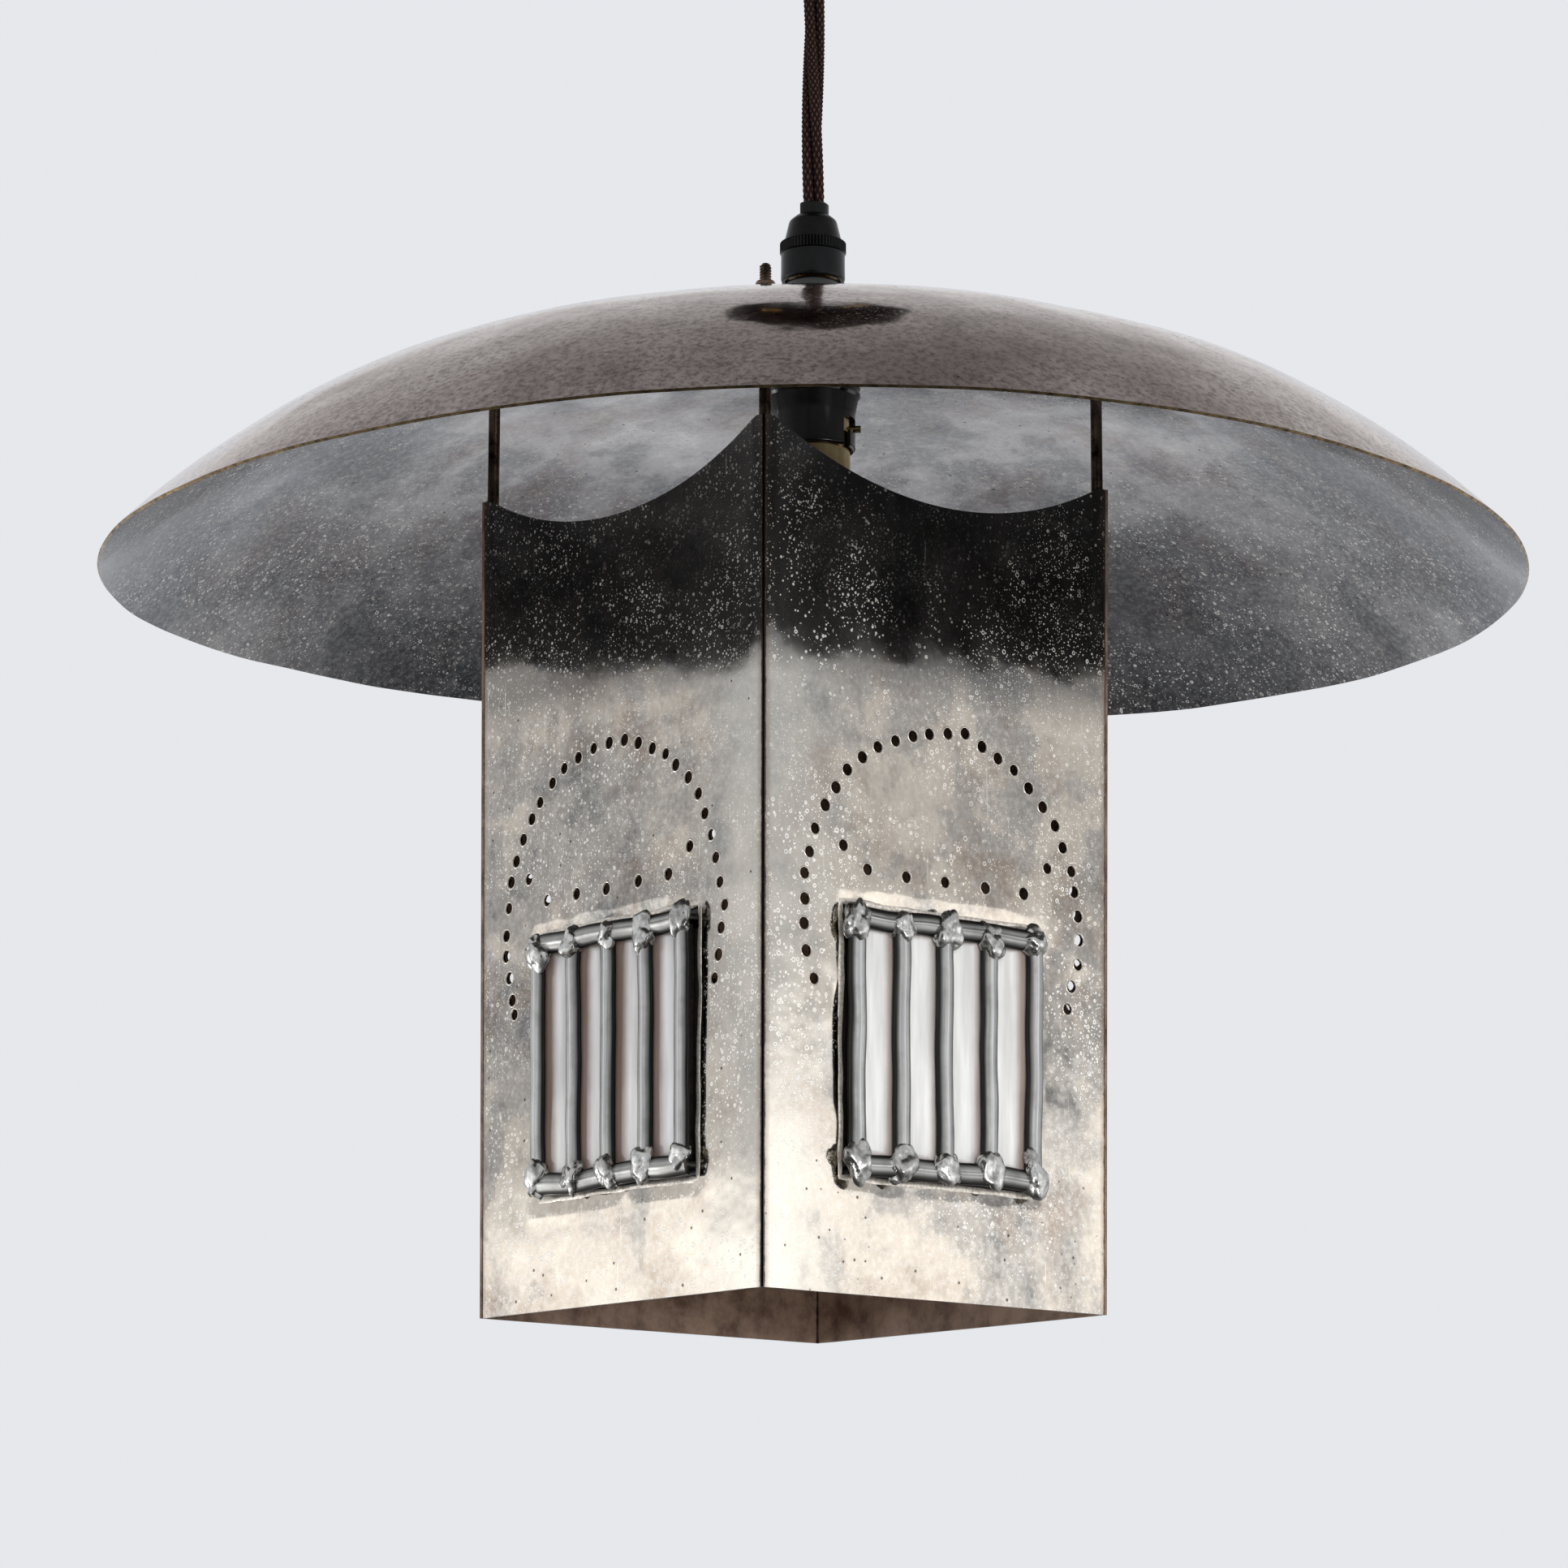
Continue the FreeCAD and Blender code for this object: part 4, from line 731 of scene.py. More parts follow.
def flare(place):
    """Widen the body a little upwards, as its faces were bent by hand."""
    grow = FOOT_SHARE + FLARE * (place.z - BODY_FOOT) / BODY_HEIGHT
    return Vector((BODY_X + (place.x - BODY_X) * grow, BODY_Y + (place.y - BODY_Y) * grow,
                   place.z))


# Settings


class LanternSettings(bpy.types.PropertyGroup):
    """Sizes and colours that a user would change."""

    sheet: bpy.props.FloatProperty(
        name="Sheet", description="Thickness of the shade's and the body's sheet",
        default=0.0009, min=0.0004, max=0.002, unit="LENGTH")
    rim_warp: bpy.props.FloatProperty(
        name="Rim warp", description="How far the hand-worked rim leaves a flat plane",
        default=0.0026, min=0.0, max=0.006, unit="LENGTH")
    came_width: bpy.props.FloatProperty(
        name="Came width", description="Width of a lead came's face",
        default=0.0062, min=0.004, max=0.009, unit="LENGTH")
    flex_twist: bpy.props.FloatProperty(
        name="Flex twist", description="Length of flex in which its cores make a whole turn",
        default=0.187, min=0.03, max=0.3, unit="LENGTH")
    background: bpy.props.FloatVectorProperty(
        name="Background", description="Pale paper behind the lantern", subtype="COLOR",
        size=4, default=linear("E6E8EC"), min=0.0, max=1.0)


# Operators


class LANTERN_OT_finishes(bpy.types.Operator):
    """Make the lantern's materials"""

    bl_idname = "lantern.finishes"
    bl_label = "Finishes"

    def execute(self, context):
        finishes.update({
            "panel": silver_plate("silver plate on the body",
                                  ("787673", "A49E96", "C6BCAE", "D8CEBF"), "8E7968", "F4F0E8",
                                  0.10, 0.6, 1.0, corners=True, mottle=0.22),
            "panel_inside": bare_metal("brown copper inside the body", "9C8270", "5A4436",
                                       0.42, 12.0, 0.05, 0.25),
            "cut_edge": bare_metal("cut copper edge", "5C4838", "261C16", 0.35, 2.0),
            "burr": bare_metal("silver rubbed bright round a hole", "E6E0D6", "B4AA9E", 0.35, 1.0,
                               0.03, 0.6),
            "shade_outside": silver_plate("silver plate on the shade",
                                          ("A39591", "BBACA8", "C9BCB8", "D9CECA"), "9C8882",
                                          "5E4E4B", 0.09, 0.55, 0.5, matt=0.0, mottle=0.75,
                                          wavy=1.0),
            # Painted shade darkens the inside of the shade towards its rim
            "shade_inside": silver_plate("silver plate inside the shade",
                                         ("62646A", "84858A", "A6A6AA", "C4C4C6"), "786C6A",
                                         "E2E0DC", 0.17, 0.6, 1.0, mottle=0.16, wavy=0.5,
                                         deep=0.6),
            "rim": bare_metal("copper showing at the rim", "A08A68", "4E4032", 0.3, 3.0),
            "lead": drawn_lead("drawn lead came"),
            "channel_shade": channel_shade_finish("old putty"),
            "solder": bare_metal("rough tin solder", "CFCECA", "8C8B88", 0.26, 3.0, 0.07),
            "seam": bare_metal("dark solder in the corners", "6A625A", "2C2622", 0.45, 3.0),
            "opal": opal_glass("opal glass"),
            "rod": bare_metal("dulled plated steel rod", "7C6A5C", "241E1A", 0.30, 6.0),
            "phenolic": phenolic("pressed black phenolic", "050506", "101112", 0.26),
            "holder_phenolic": phenolic("polished black phenolic", "050506", "101112", 0.20, 0.6),
            "rose_phenolic": phenolic("pressed brown phenolic", "120C0A", "2A1C16", 0.25),
            "old_brass": bare_metal("aged brass fitting", "A98A52", "5A4326", 0.3, 3.0),
            "bright_brass": bare_metal("bright brass screw", "D9B872", "9C7A40", 0.22, 2.0),
            "lamp_brass": bare_metal("brass of the lamp's cap", "CDB98A", "B09A6A", 0.26, 14.0),
            "spring": bare_metal("spring steel", "B4B4B4", "7C7C7C", 0.25, 1.0),
            "braid": braided_cotton("braided brown cotton"),
            "core": phenolic("rubber-covered core", "2E0E0A", "4A1C14", 0.6),
            "lamp_glass": clear_glass("blown lamp glass"),
            "dark_glass": phenolic("black glass insulator", "050507", "101014", 0.1),
            "porcelain": glazed_porcelain("glazed porcelain", "E4DFD2"),
            "wire": bare_metal("fine tungsten wire", "8C8C8E", "4C4C50", 0.4, 1.0),
        })
        return {"FINISHED"}


class LANTERN_OT_shade(bpy.types.Operator):
    """Raise the domed shade from one sheet"""

    bl_idname = "lantern.shade"
    bl_label = "Shade"

    def execute(self, context):
        settings = context.scene.lantern
        sheet = settings.sheet / MM
        warp = settings.rim_warp / MM
        hole, rings, rounds = 14.6, 44, 288
        radii = [hole + (SHADE_RADIUS - hole) * number / rings for number in range(rings + 1)]
        outside = [(radius, dome_height(radius)) for radius in radii]
        # The inner face ends nearer to the middle than the outer one, so the edge slants
        inner_rim = SHADE_RADIUS - sheet * 0.70
        inside = [(min(radius, inner_rim), dome_height(min(radius, inner_rim), sheet))
                  for radius in radii]
        bm = bmesh.new()
        turn(bm, outside + inside[::-1], rounds)
        settle(bm)
        below = Vector((0, 0, SHADE_TOP - 90.0))
        for face in bm.faces:
            outwards = face.normal.dot(face.calc_center_median() - below) > 0
            face.material_index = 0 if outwards else 1
        rim_faces = [face for face in bm.faces
                     if all(math.hypot(v.co.x, v.co.y) > inner_rim - 0.3 for v in face.verts)]
        for face in rim_faces:
            face.material_index = 2
        for vertex in bm.verts:
            vertex.co.z += self.uneven(vertex.co, warp)
        piece = new_object("shade_sheet", bm, "shade_outside", "shade_inside", "rim")
        dress(piece, "lantern", "shade")
        return {"FINISHED"}

    def uneven(self, place, warp):
        """Slow waves left by raising the dome, and a rim that isn't quite flat."""
        radius = math.hypot(place.x, place.y)
        angle = math.atan2(place.y, place.x) - math.radians(VIEW_TURN)
        out = smooth_step(radius, 95.0, SHADE_RADIUS) ** 1.5
        saddle = -0.8 * math.cos(2 * angle) - 0.6 * math.sin(2 * angle)
        tilt = -0.0044 * radius * math.cos(angle) + 0.0014 * radius * math.sin(angle)
        # The waves die away round the lampholder and where the nuts clamp the sheet
        calm = smooth_step(radius, 24.0, 60.0)
        nuts = 1.0 - 0.8 * math.exp(-((radius - 87.0) / 12.0) ** 2)
        waves = 0.60 * noise.noise(place / 46.0) + 0.12 * noise.noise(place / 17.0)
        return out * (warp * saddle + tilt) + calm * nuts * waves


class LANTERN_OT_body(bpy.types.Operator):
    """Cut, punch and dent the four faces of the body"""

    bl_idname = "lantern.body"
    bl_label = "Body"

    def execute(self, context):
        sheet = context.scene.lantern.sheet / MM
        for number, (face, angle) in enumerate(FACES):
            seed = 11.0 + 5.7 * number
            holes = punch_places(number)
            piece = self.blank(face, sheet, seed)
            cut_out(piece, self.cutter(holes, seed))
            bm = bmesh.new()
            bm.from_mesh(piece.data)
            self.add_burrs(bm, holes, seed)
            self.add_lip(bm, seed)
            bmesh.ops.transform(bm, matrix=on_face(angle), verts=bm.verts)
            bm.to_mesh(piece.data)
            bm.free()
            dress(piece, "lantern", "panel_" + face, 30.0, True)
        self.make_seams()
        return {"FINISHED"}

    def make_seams(self):
        """Solder run into the corners from inside."""
        low, high = mm_box("corner_seams")
        bm = bmesh.new()
        inner, steps = HALF - 0.95, 60
        for number in range(4):
            edges_before = None
            for step in range(steps + 1):
                up = low.z + (high.z - low.z) * step / steps
                leg = 1.7 + 0.8 * noise.noise(Vector((number * 9.0, 0.0, up / 7)))
                ring, edges = ring_of(bm, [(inner - x, -inner + y, up) for x, y in (
                    (0, 0), (0, leg), (leg * 0.35, leg * 0.35), (leg, 0))])
                if edges_before:
                    bmesh.ops.bridge_loops(bm, edges=edges_before + edges)
                else:
                    bm.faces.new(ring)
                edges_before = edges
            bm.faces.new(ring[::-1])
            made = [vertex for vertex in bm.verts if not vertex.tag]
            bmesh.ops.rotate(bm, verts=made, cent=(0, 0, 0),
                             matrix=Matrix.Rotation(math.radians(90 * number), 3, "Z"))
            for vertex in made:
                vertex.tag = True
        bmesh.ops.translate(bm, verts=bm.verts, vec=(BODY_X, BODY_Y, 0.0))
        bmesh.ops.recalc_face_normals(bm, faces=bm.faces)
        piece = new_object("corner_solder", bm, "seam")
        dress(piece, "lantern", "corner_seams", 40.0, True)

    def blank(self, face, sheet, seed):
        """An uncut face: a fine grid, pushed out of flat and given its thickness."""
        bm = bmesh.new()
        bmesh.ops.create_grid(bm, x_segments=76, y_segments=140, size=0.5)
        for vertex in bm.verts:
            across, up = vertex.co.x * SIDE, (vertex.co.y + 0.5) * BODY_HEIGHT
            vertex.co = (across, -HALF - sheet_rise(across, up, seed), up)
        outer = list(bm.faces)
        for item in outer:
            if item.normal.y > 0:
                item.normal_flip()
        made = bmesh.ops.extrude_face_region(bm, geom=outer)
        inner = [item for item in made["geom"] if isinstance(item, bmesh.types.BMVert)]
        for vertex in inner:
            vertex.co.y += sheet
            vertex.co.x *= (HALF - sheet) / HALF
        bmesh.ops.recalc_face_normals(bm, faces=bm.faces)
        for item in bm.faces:
            item.material_index = 0
            if item.normal.y > 0.7:
                item.material_index = 1
            elif abs(item.normal.y) < 0.5:
                item.material_index = 2
        return new_object("body_face_" + face, bm, "panel", "panel_inside", "cut_edge", "burr")

    def cutter(self, holes, seed):
        """Punches, the window's opening and the scooped top edge, as one cutting shape."""
        deep = 12.0
        bm = bmesh.new()
        upright = Matrix.Rotation(math.radians(90), 4, "X")
        for across, up, radius in holes:
            bmesh.ops.create_cone(
                bm, cap_ends=True, segments=24, radius1=radius, radius2=radius, depth=deep,
                matrix=Matrix.Translation((across, -HALF, up)) @ upright)
        window = bmesh.ops.create_grid(bm, x_segments=18, y_segments=18, size=0.5)["verts"]
        for vertex in window:
            across, up = vertex.co.x * WINDOW_WIDE, vertex.co.y * WINDOW_TALL
            up += WINDOW_SILL + WINDOW_TALL / 2
            ragged = noise.noise_vector(Vector((across / 9, up / 9, seed))) * RAGGED
            vertex.co = (across + ragged.x, -HALF - deep / 2, up + ragged.y)
        flat = {item for vertex in window for item in vertex.link_faces}
        made = bmesh.ops.extrude_face_region(bm, geom=list(flat))
        bmesh.ops.translate(bm, vec=(0, deep, 0), verts=[
            item for item in made["geom"] if isinstance(item, bmesh.types.BMVert)])
        # A circle through the scoop's two tips and its lowest point
        tip = HALF - 3.5
        sag = 16.0
        scoop = (tip ** 2 + sag ** 2) / (2 * sag)
        bmesh.ops.create_cone(
            bm, cap_ends=True, segments=180, radius1=scoop, radius2=scoop, depth=deep,
            matrix=Matrix.Translation((0, -HALF, BODY_HEIGHT - sag + scoop)) @ upright)
        bmesh.ops.recalc_face_normals(bm, faces=bm.faces)
        return new_object("body_cutter", bm, "cut_edge")

    def add_lip(self, bm, seed):
        """A narrow rolled edge round the window, bright where it has been rubbed."""
        half_x, half_z = WINDOW_WIDE / 2 + 0.5, WINDOW_TALL / 2 + 0.5
        middle = WINDOW_SILL + WINDOW_TALL / 2
        steps = 28
        route = []
        for way_x, way_z, run_x, run_z in ((1, -1, 0, 1), (1, 1, -1, 0), (-1, 1, 0, -1),
                                           (-1, -1, 1, 0)):
            length = 2 * (half_z if run_z else half_x)
            for step in range(steps):
                go = length * step / steps
                route.append(Vector((way_x * half_x + run_x * go, 0.0,
                                     middle + way_z * half_z + run_z * go)))
        rings = []
        for number, place in enumerate(route):
            before, after = route[number - 1], route[(number + 1) % len(route)]
            side = (after - before).normalized().cross(Vector((0, 1, 0)))
            stray = noise.noise_vector(place / 9.0 + Vector((seed, 0, 0))) * RAGGED
            wide = 1.0 + 0.4 * noise.noise(place / 7.0 + Vector((0, seed, 0)))
            tall = 0.17 + 0.12 * noise.noise(place / 5.0 - Vector((0, seed, 0)))
            rise = sheet_rise(place.x, place.z, seed)
            spots = []
            for across, up in ((-1.0, -0.3), (-0.8, 0.5), (-0.2, 1.0), (0.5, 0.8), (1.0, -0.3)):
                spot = place + side * (across * wide) + Vector((stray.x, 0, stray.z))
                spot.y = -HALF - rise - up * tall
                spots.append(spot)
            rings.append(ring_of(bm, spots)[1])
        lip = []
        for number, edges in enumerate(rings):
            lip += bmesh.ops.bridge_loops(bm, edges=rings[number - 1] + edges)["faces"]
        for item in lip:
            item.material_index = 3
        bmesh.ops.recalc_face_normals(bm, faces=lip)

    def add_burrs(self, bm, holes, seed):
        """A low rim of metal pushed up round each punched hole, rubbed bright."""
        for across, up, radius in holes:
            lip = bmesh.new()
            turn(lip, [(radius + 0.45, -0.12), (radius + 0.36, 0.06), (radius + 0.16, 0.15),
                       (radius - 0.02, 0.08), (radius - 0.04, -0.3)], 20, False)
            bmesh.ops.remove_doubles(lip, verts=lip.verts, dist=0.001)
            rise = sheet_rise(across, up, seed)
            stand = (Matrix.Translation((across, -HALF - rise, up))
                     @ Matrix.Rotation(math.radians(90), 4, "X"))
            bmesh.ops.transform(lip, matrix=stand, verts=lip.verts)
            for item in lip.faces:
                item.material_index = 3
                out = item.calc_center_median() - Vector((across, -HALF + 1.0, up))
                if item.normal.dot(out) < 0 and item.normal.y > 0:
                    item.normal_flip()
            pour(bm, lip)


class LANTERN_OT_windows(bpy.types.Operator):
    """Lead cames and solder in the four windows, and their glass"""

    bl_idname = "lantern.windows"
    bl_label = "Windows"

    def execute(self, context):
        wide = context.scene.lantern.came_width / MM
        for number, (face, angle) in enumerate(FACES):
            size = self.grid_size("came_rails_" + face, number % 2)
            size.front -= SET_BACK
            size.deep -= SET_BACK
            left = -size.wide / 2 + wide / 2
            pitch = (size.wide - wide) / (UPRIGHTS - 1)
            self.make_cames(face, angle, wide, size, left, pitch, random.Random(700 + number))
            self.make_solder(face, angle, wide, size, left, pitch, random.Random(900 + number))
            self.make_strips(face, angle, left, pitch, number % 2, random.Random(300 + number))
        return {"FINISHED"}

    def grid_size(self, node, turned):
        """How far out of the body's middle a window's node stands, and its sizes."""
        low, high = mm_box(node)
        middle = (BODY_X, BODY_Y)
        out, across = (0, 1) if turned else (1, 0)
        return SimpleNamespace(
            front=max(abs(low[out] - middle[out]), abs(high[out] - middle[out])),
            deep=high[out] - low[out], wide=high[across] - low[across],
            sill=low.z - BODY_FOOT, tall=high.z - low.z)

    def make_strips(self, face, angle, left, pitch, turned, chance):
        """Opal strips with rounded edges, one in each bay of the lead."""
        size = self.grid_size("glass_strips_" + face, turned)
        thick = size.deep - SET_BACK / 2
        # Painted shade on the side of each strip away from the front right corner, stronger on the front and
        # back faces
        shaded_side = 1 if turned else -1
        brown = 0.65 if turned else 0.9
        bm = bmesh.new()
        run = bm.verts.layers.float_vector.new("run")
        for index in range(UPRIGHTS - 1):
            width = pitch - 2.0 - chance.uniform(0.0, 0.6)
            strength = brown + chance.uniform(-0.12, 0.05)
            made = bmesh.ops.create_cube(bm, size=1.0)["verts"]
            edges = list({edge for vertex in made for edge in vertex.link_edges})
            for vertex in made:
                vertex.co = Vector((vertex.co.x * width, vertex.co.y * thick,
                                    vertex.co.z * size.tall))
            before = set(bm.verts) - set(made)
            bmesh.ops.bevel(bm, geom=edges, offset=0.7, segments=4, profile=0.5,
                            affect="EDGES", material=-1)
            whole = [vertex for vertex in bm.verts if vertex not in before]
            for vertex in whole:
                vertex[run] = (shaded_side * 2 * vertex.co.x / width, strength,
                               2 * vertex.co.z / size.tall)
            bmesh.ops.translate(bm, verts=whole, vec=(
                left + pitch * (index + 0.5), -size.front + SET_BACK / 2 + thick / 2,
                size.sill + size.tall / 2))
        bmesh.ops.transform(bm, matrix=on_face(angle), verts=bm.verts)
        dress(new_object("opal_strips_" + face, bm, "opal"), "lantern", "glass_strips_" + face,
              60.0, True)

    def section(self, wide, depth):
        """A came's section, round from its front ridge: half-round face, web and back face."""
        half = wide / 2
        front = [(0.0, 0.0), (0.28, -0.03), (0.4, -0.11)]
        front += [(half * math.sin(turn_by), -0.1 - 1.75 * (1 - math.cos(turn_by)))
                  for turn_by in (math.radians(angle) for angle in (18, 32, 46, 60, 74, 88))]
        front += [(half - 0.15, -2.1), (half - 0.7, -2.2), (0.8, -2.0)]
        back = [(0.8, -depth + 1.5), (half - 0.3, -depth + 1.5), (half, -depth + 1.2),
                (half, -depth + 0.4), (half - 0.4, -depth), (0.0, -depth)]
        left = [(-across, out) for across, out in (front[1:] + back[:-1])[::-1]]
        return front + back + left

    def add_bar(self, bm, start, end, rail_shade, chance, wide, depth):
        """Extrude one came from start to end, a little bent and uneven as soft lead is.

        rail_shade: how far the painted shade covers the ridge; an upright has none and bends less.
        """
        run = bm.verts.layers.float_vector["run"]
        flank = bm.verts.layers.float["flank"]
        along = end - start
        length = along.length
        along.normalize()
        out = Vector((0, -1, 0))
        side = along.cross(out)
        count = max(2, round(length / 3.0))
        phase = Vector((chance.uniform(0, 90), chance.uniform(0, 90), 0))
        shape = self.section(wide, depth)
        edges_before = None
        for step in range(count + 1):
            share = step / count
            bend = noise.noise_vector(phase + Vector((0, 0, share * length / 16)))
            bend *= BEND_OF_RAIL if rail_shade else BEND_OF_UPRIGHT
            bend *= smooth_step(min(share, 1 - share) * length, 0.0, 8.0)
            middle = start + along * (share * length) + side * bend.x + out * bend.y * 0.5
            grow = 1 + 0.06 * noise.noise(phase * 1.7 + Vector((0, 3, share * length / 9)))
            ring, edges = ring_of(bm, [
                middle + side * across * grow + out * rise for across, rise in shape])
            for vertex, (across, rise) in zip(ring, shape):
                vertex[run] = Vector((across, rise, share * length)) * MM + phase * MM
                vertex[flank] = 1.0
                if rise > FLANK_FOOT:
                    vertex[flank] = rail_shade + (1 - rail_shade) * abs(across) / (wide / 2)
            if edges_before:
                bmesh.ops.bridge_loops(bm, edges=edges_before + edges)
            else:
                bm.faces.new(ring)
            edges_before = edges
        bm.faces.new(ring[::-1])

    def make_cames(self, face, angle, wide, size, left, pitch, chance):
        """Five uprights, then two rails that stand a little prouder."""
        for kind in ("uprights", "rails"):
            bm = bmesh.new()
            bm.verts.layers.float_vector.new("run")
            bm.verts.layers.float.new("flank")
            if kind == "uprights":
                for index in range(UPRIGHTS):
                    across = left + pitch * index + chance.uniform(-0.4, 0.4) * (
                        0 < index < UPRIGHTS - 1)
                    low = Vector((across, -size.front, size.sill + wide * 0.75))
                    high = Vector((across + chance.uniform(-0.5, 0.5), -size.front,
                                   size.sill + size.tall - wide * 0.75))
                    self.add_bar(bm, low, high, 0.0, chance, wide, size.deep)
            else:
                for up in (size.sill + wide / 2, size.sill + size.tall - wide / 2):
                    start = Vector((-size.wide / 2, -size.front - 0.15, up))
                    end = Vector((size.wide / 2, -size.front - 0.15, up))
                    self.add_bar(bm, start, end, RAIL_SHADE, chance, wide, size.deep)
            bmesh.ops.recalc_face_normals(bm, faces=bm.faces)
            # Painted shade on the channel faces of the uprights
            for item in bm.faces:
                inset = -size.front - item.calc_center_median().y
                if kind == "uprights" and -size.deep + 1.0 < inset < -1.95:
                    item.material_index = 1
            bmesh.ops.transform(bm, matrix=on_face(angle), verts=bm.verts)
            piece = new_object("lead_%s_%s" % (kind, face), bm, "lead", "channel_shade")
            dress(piece, "lantern", "came_%s_%s" % (kind, face), 50.0, True)

    def make_solder(self, face, angle, wide, size, left, pitch, chance):
        """A lump of solder on each joint, rough and creased as it froze."""
        bm = bmesh.new()
        for index in range(UPRIGHTS):
            for up, way in ((size.sill + wide / 2, 1), (size.sill + size.tall - wide / 2, -1)):
                lump = bmesh.ops.create_icosphere(bm, subdivisions=4, radius=1.0)["verts"]
                seed = Vector((chance.uniform(0, 60), chance.uniform(0, 60), 5.0))
                reach = chance.uniform(4.0, 5.0)
                long = chance.uniform(1.0, 1.4)
                tilt = Matrix.Rotation(-chance.uniform(-0.6, 0.6), 3, "Y")
                lift = chance.uniform(0.3, 2.4)
                seat = Vector((left + pitch * index, -size.front + 1.1, up + way * lift))
                for vertex in lump:
                    unit = vertex.co.copy()
                    crease = 1 - abs(noise.noise(unit * 1.2 - seed))
                    rough = (1 + 0.50 * noise.noise(unit * 1.1 + seed)
                             + 0.06 * noise.noise(unit * 2.6 + seed) - 0.16 * crease ** 10)
                    stretched = Vector((unit.x * reach, unit.y * 2.5, unit.z * reach * long))
                    vertex.co = seat + tilt @ stretched * rough
        bmesh.ops.transform(bm, matrix=on_face(angle), verts=bm.verts)
        dress(new_object("solder_" + face, bm, "solder"), "lantern", "solder_joints_" + face,
              60.0, True)


class LANTERN_OT_rods(bpy.types.Operator):
    """Corner rods and their nuts"""

    bl_idname = "lantern.rods"
    bl_label = "Rods and nuts"

    def execute(self, context):
        nuts_up, nuts_down = bmesh.new(), bmesh.new()
        # Length of a rod's threaded end, and the steps of its wall
        cut, step = 15, 0.12
        for corner in ("front_left", "front_right", "back_right", "back_left"):
            low, high = mm_box("corner_rod_" + corner)
            radius = (high.x - low.x) / 2
            top = high.z
            middle = flare(Vector(((low.x + high.x) / 2, (low.y + high.y) / 2, top - 30.0)))
            wall = [(radius, top - cut + step * n) for n in range(1, int((cut - 0.7) / step))]
            outline = ([(0.0, low.z), (radius - 0.3, low.z), (radius, low.z + 0.3)] + wall
                       + [(radius - 0.25, top - 0.4), (radius - 0.8, top), (0.0, top)])
            reach = math.hypot(middle.x, middle.y)
            turned_piece("rod_" + corner, outline, "lantern", "rod", "corner_rod_" + corner,
                         40, threaded(top - 14.5, top, radius * 0.6, 0.8, 0.28),
                         60.0, (middle.x, middle.y))
            for bm, way, seat in ((nuts_up, 1, dome_height(reach - 3.45) + 0.05),
                                  (nuts_down, -1, dome_height(reach + 3.45, 0.9) - 0.05)):
                nut = bmesh.new()
                turn(nut, soften([(radius + 0.05, seat), (3.6, seat, 0.15),
                                  (3.65, seat + way * 0.5, 0.15),
                                  (2.9, seat + way * 0.75, 0.2), (2.7, seat + way * 1.9, 0.3),
                                  (2.2, seat + way * 2.3, 0.15),
                                  (radius + 0.05, seat + way * 2.3)]), 48)
                settle(nut)
                for vertex in nut.verts:
                    if math.hypot(vertex.co.x, vertex.co.y) > 3.2:
                        ragged = noise.noise(vertex.co * 0.9 + middle)
                        vertex.co += vertex.co.xy.to_3d() * 0.12 * ragged
                        vertex.co.z += 0.25 * ragged
                bmesh.ops.translate(nut, verts=nut.verts, vec=(middle.x, middle.y, 0.0))
                pour(bm, nut)
        for name, bm, node in (("nuts_above_shade", nuts_up, "rod_nuts_upper"),
                               ("nuts_below_shade", nuts_down, "rod_nuts_lower")):
            dress(new_object(name, bm, "rod"), "lantern", node)
        return {"FINISHED"}


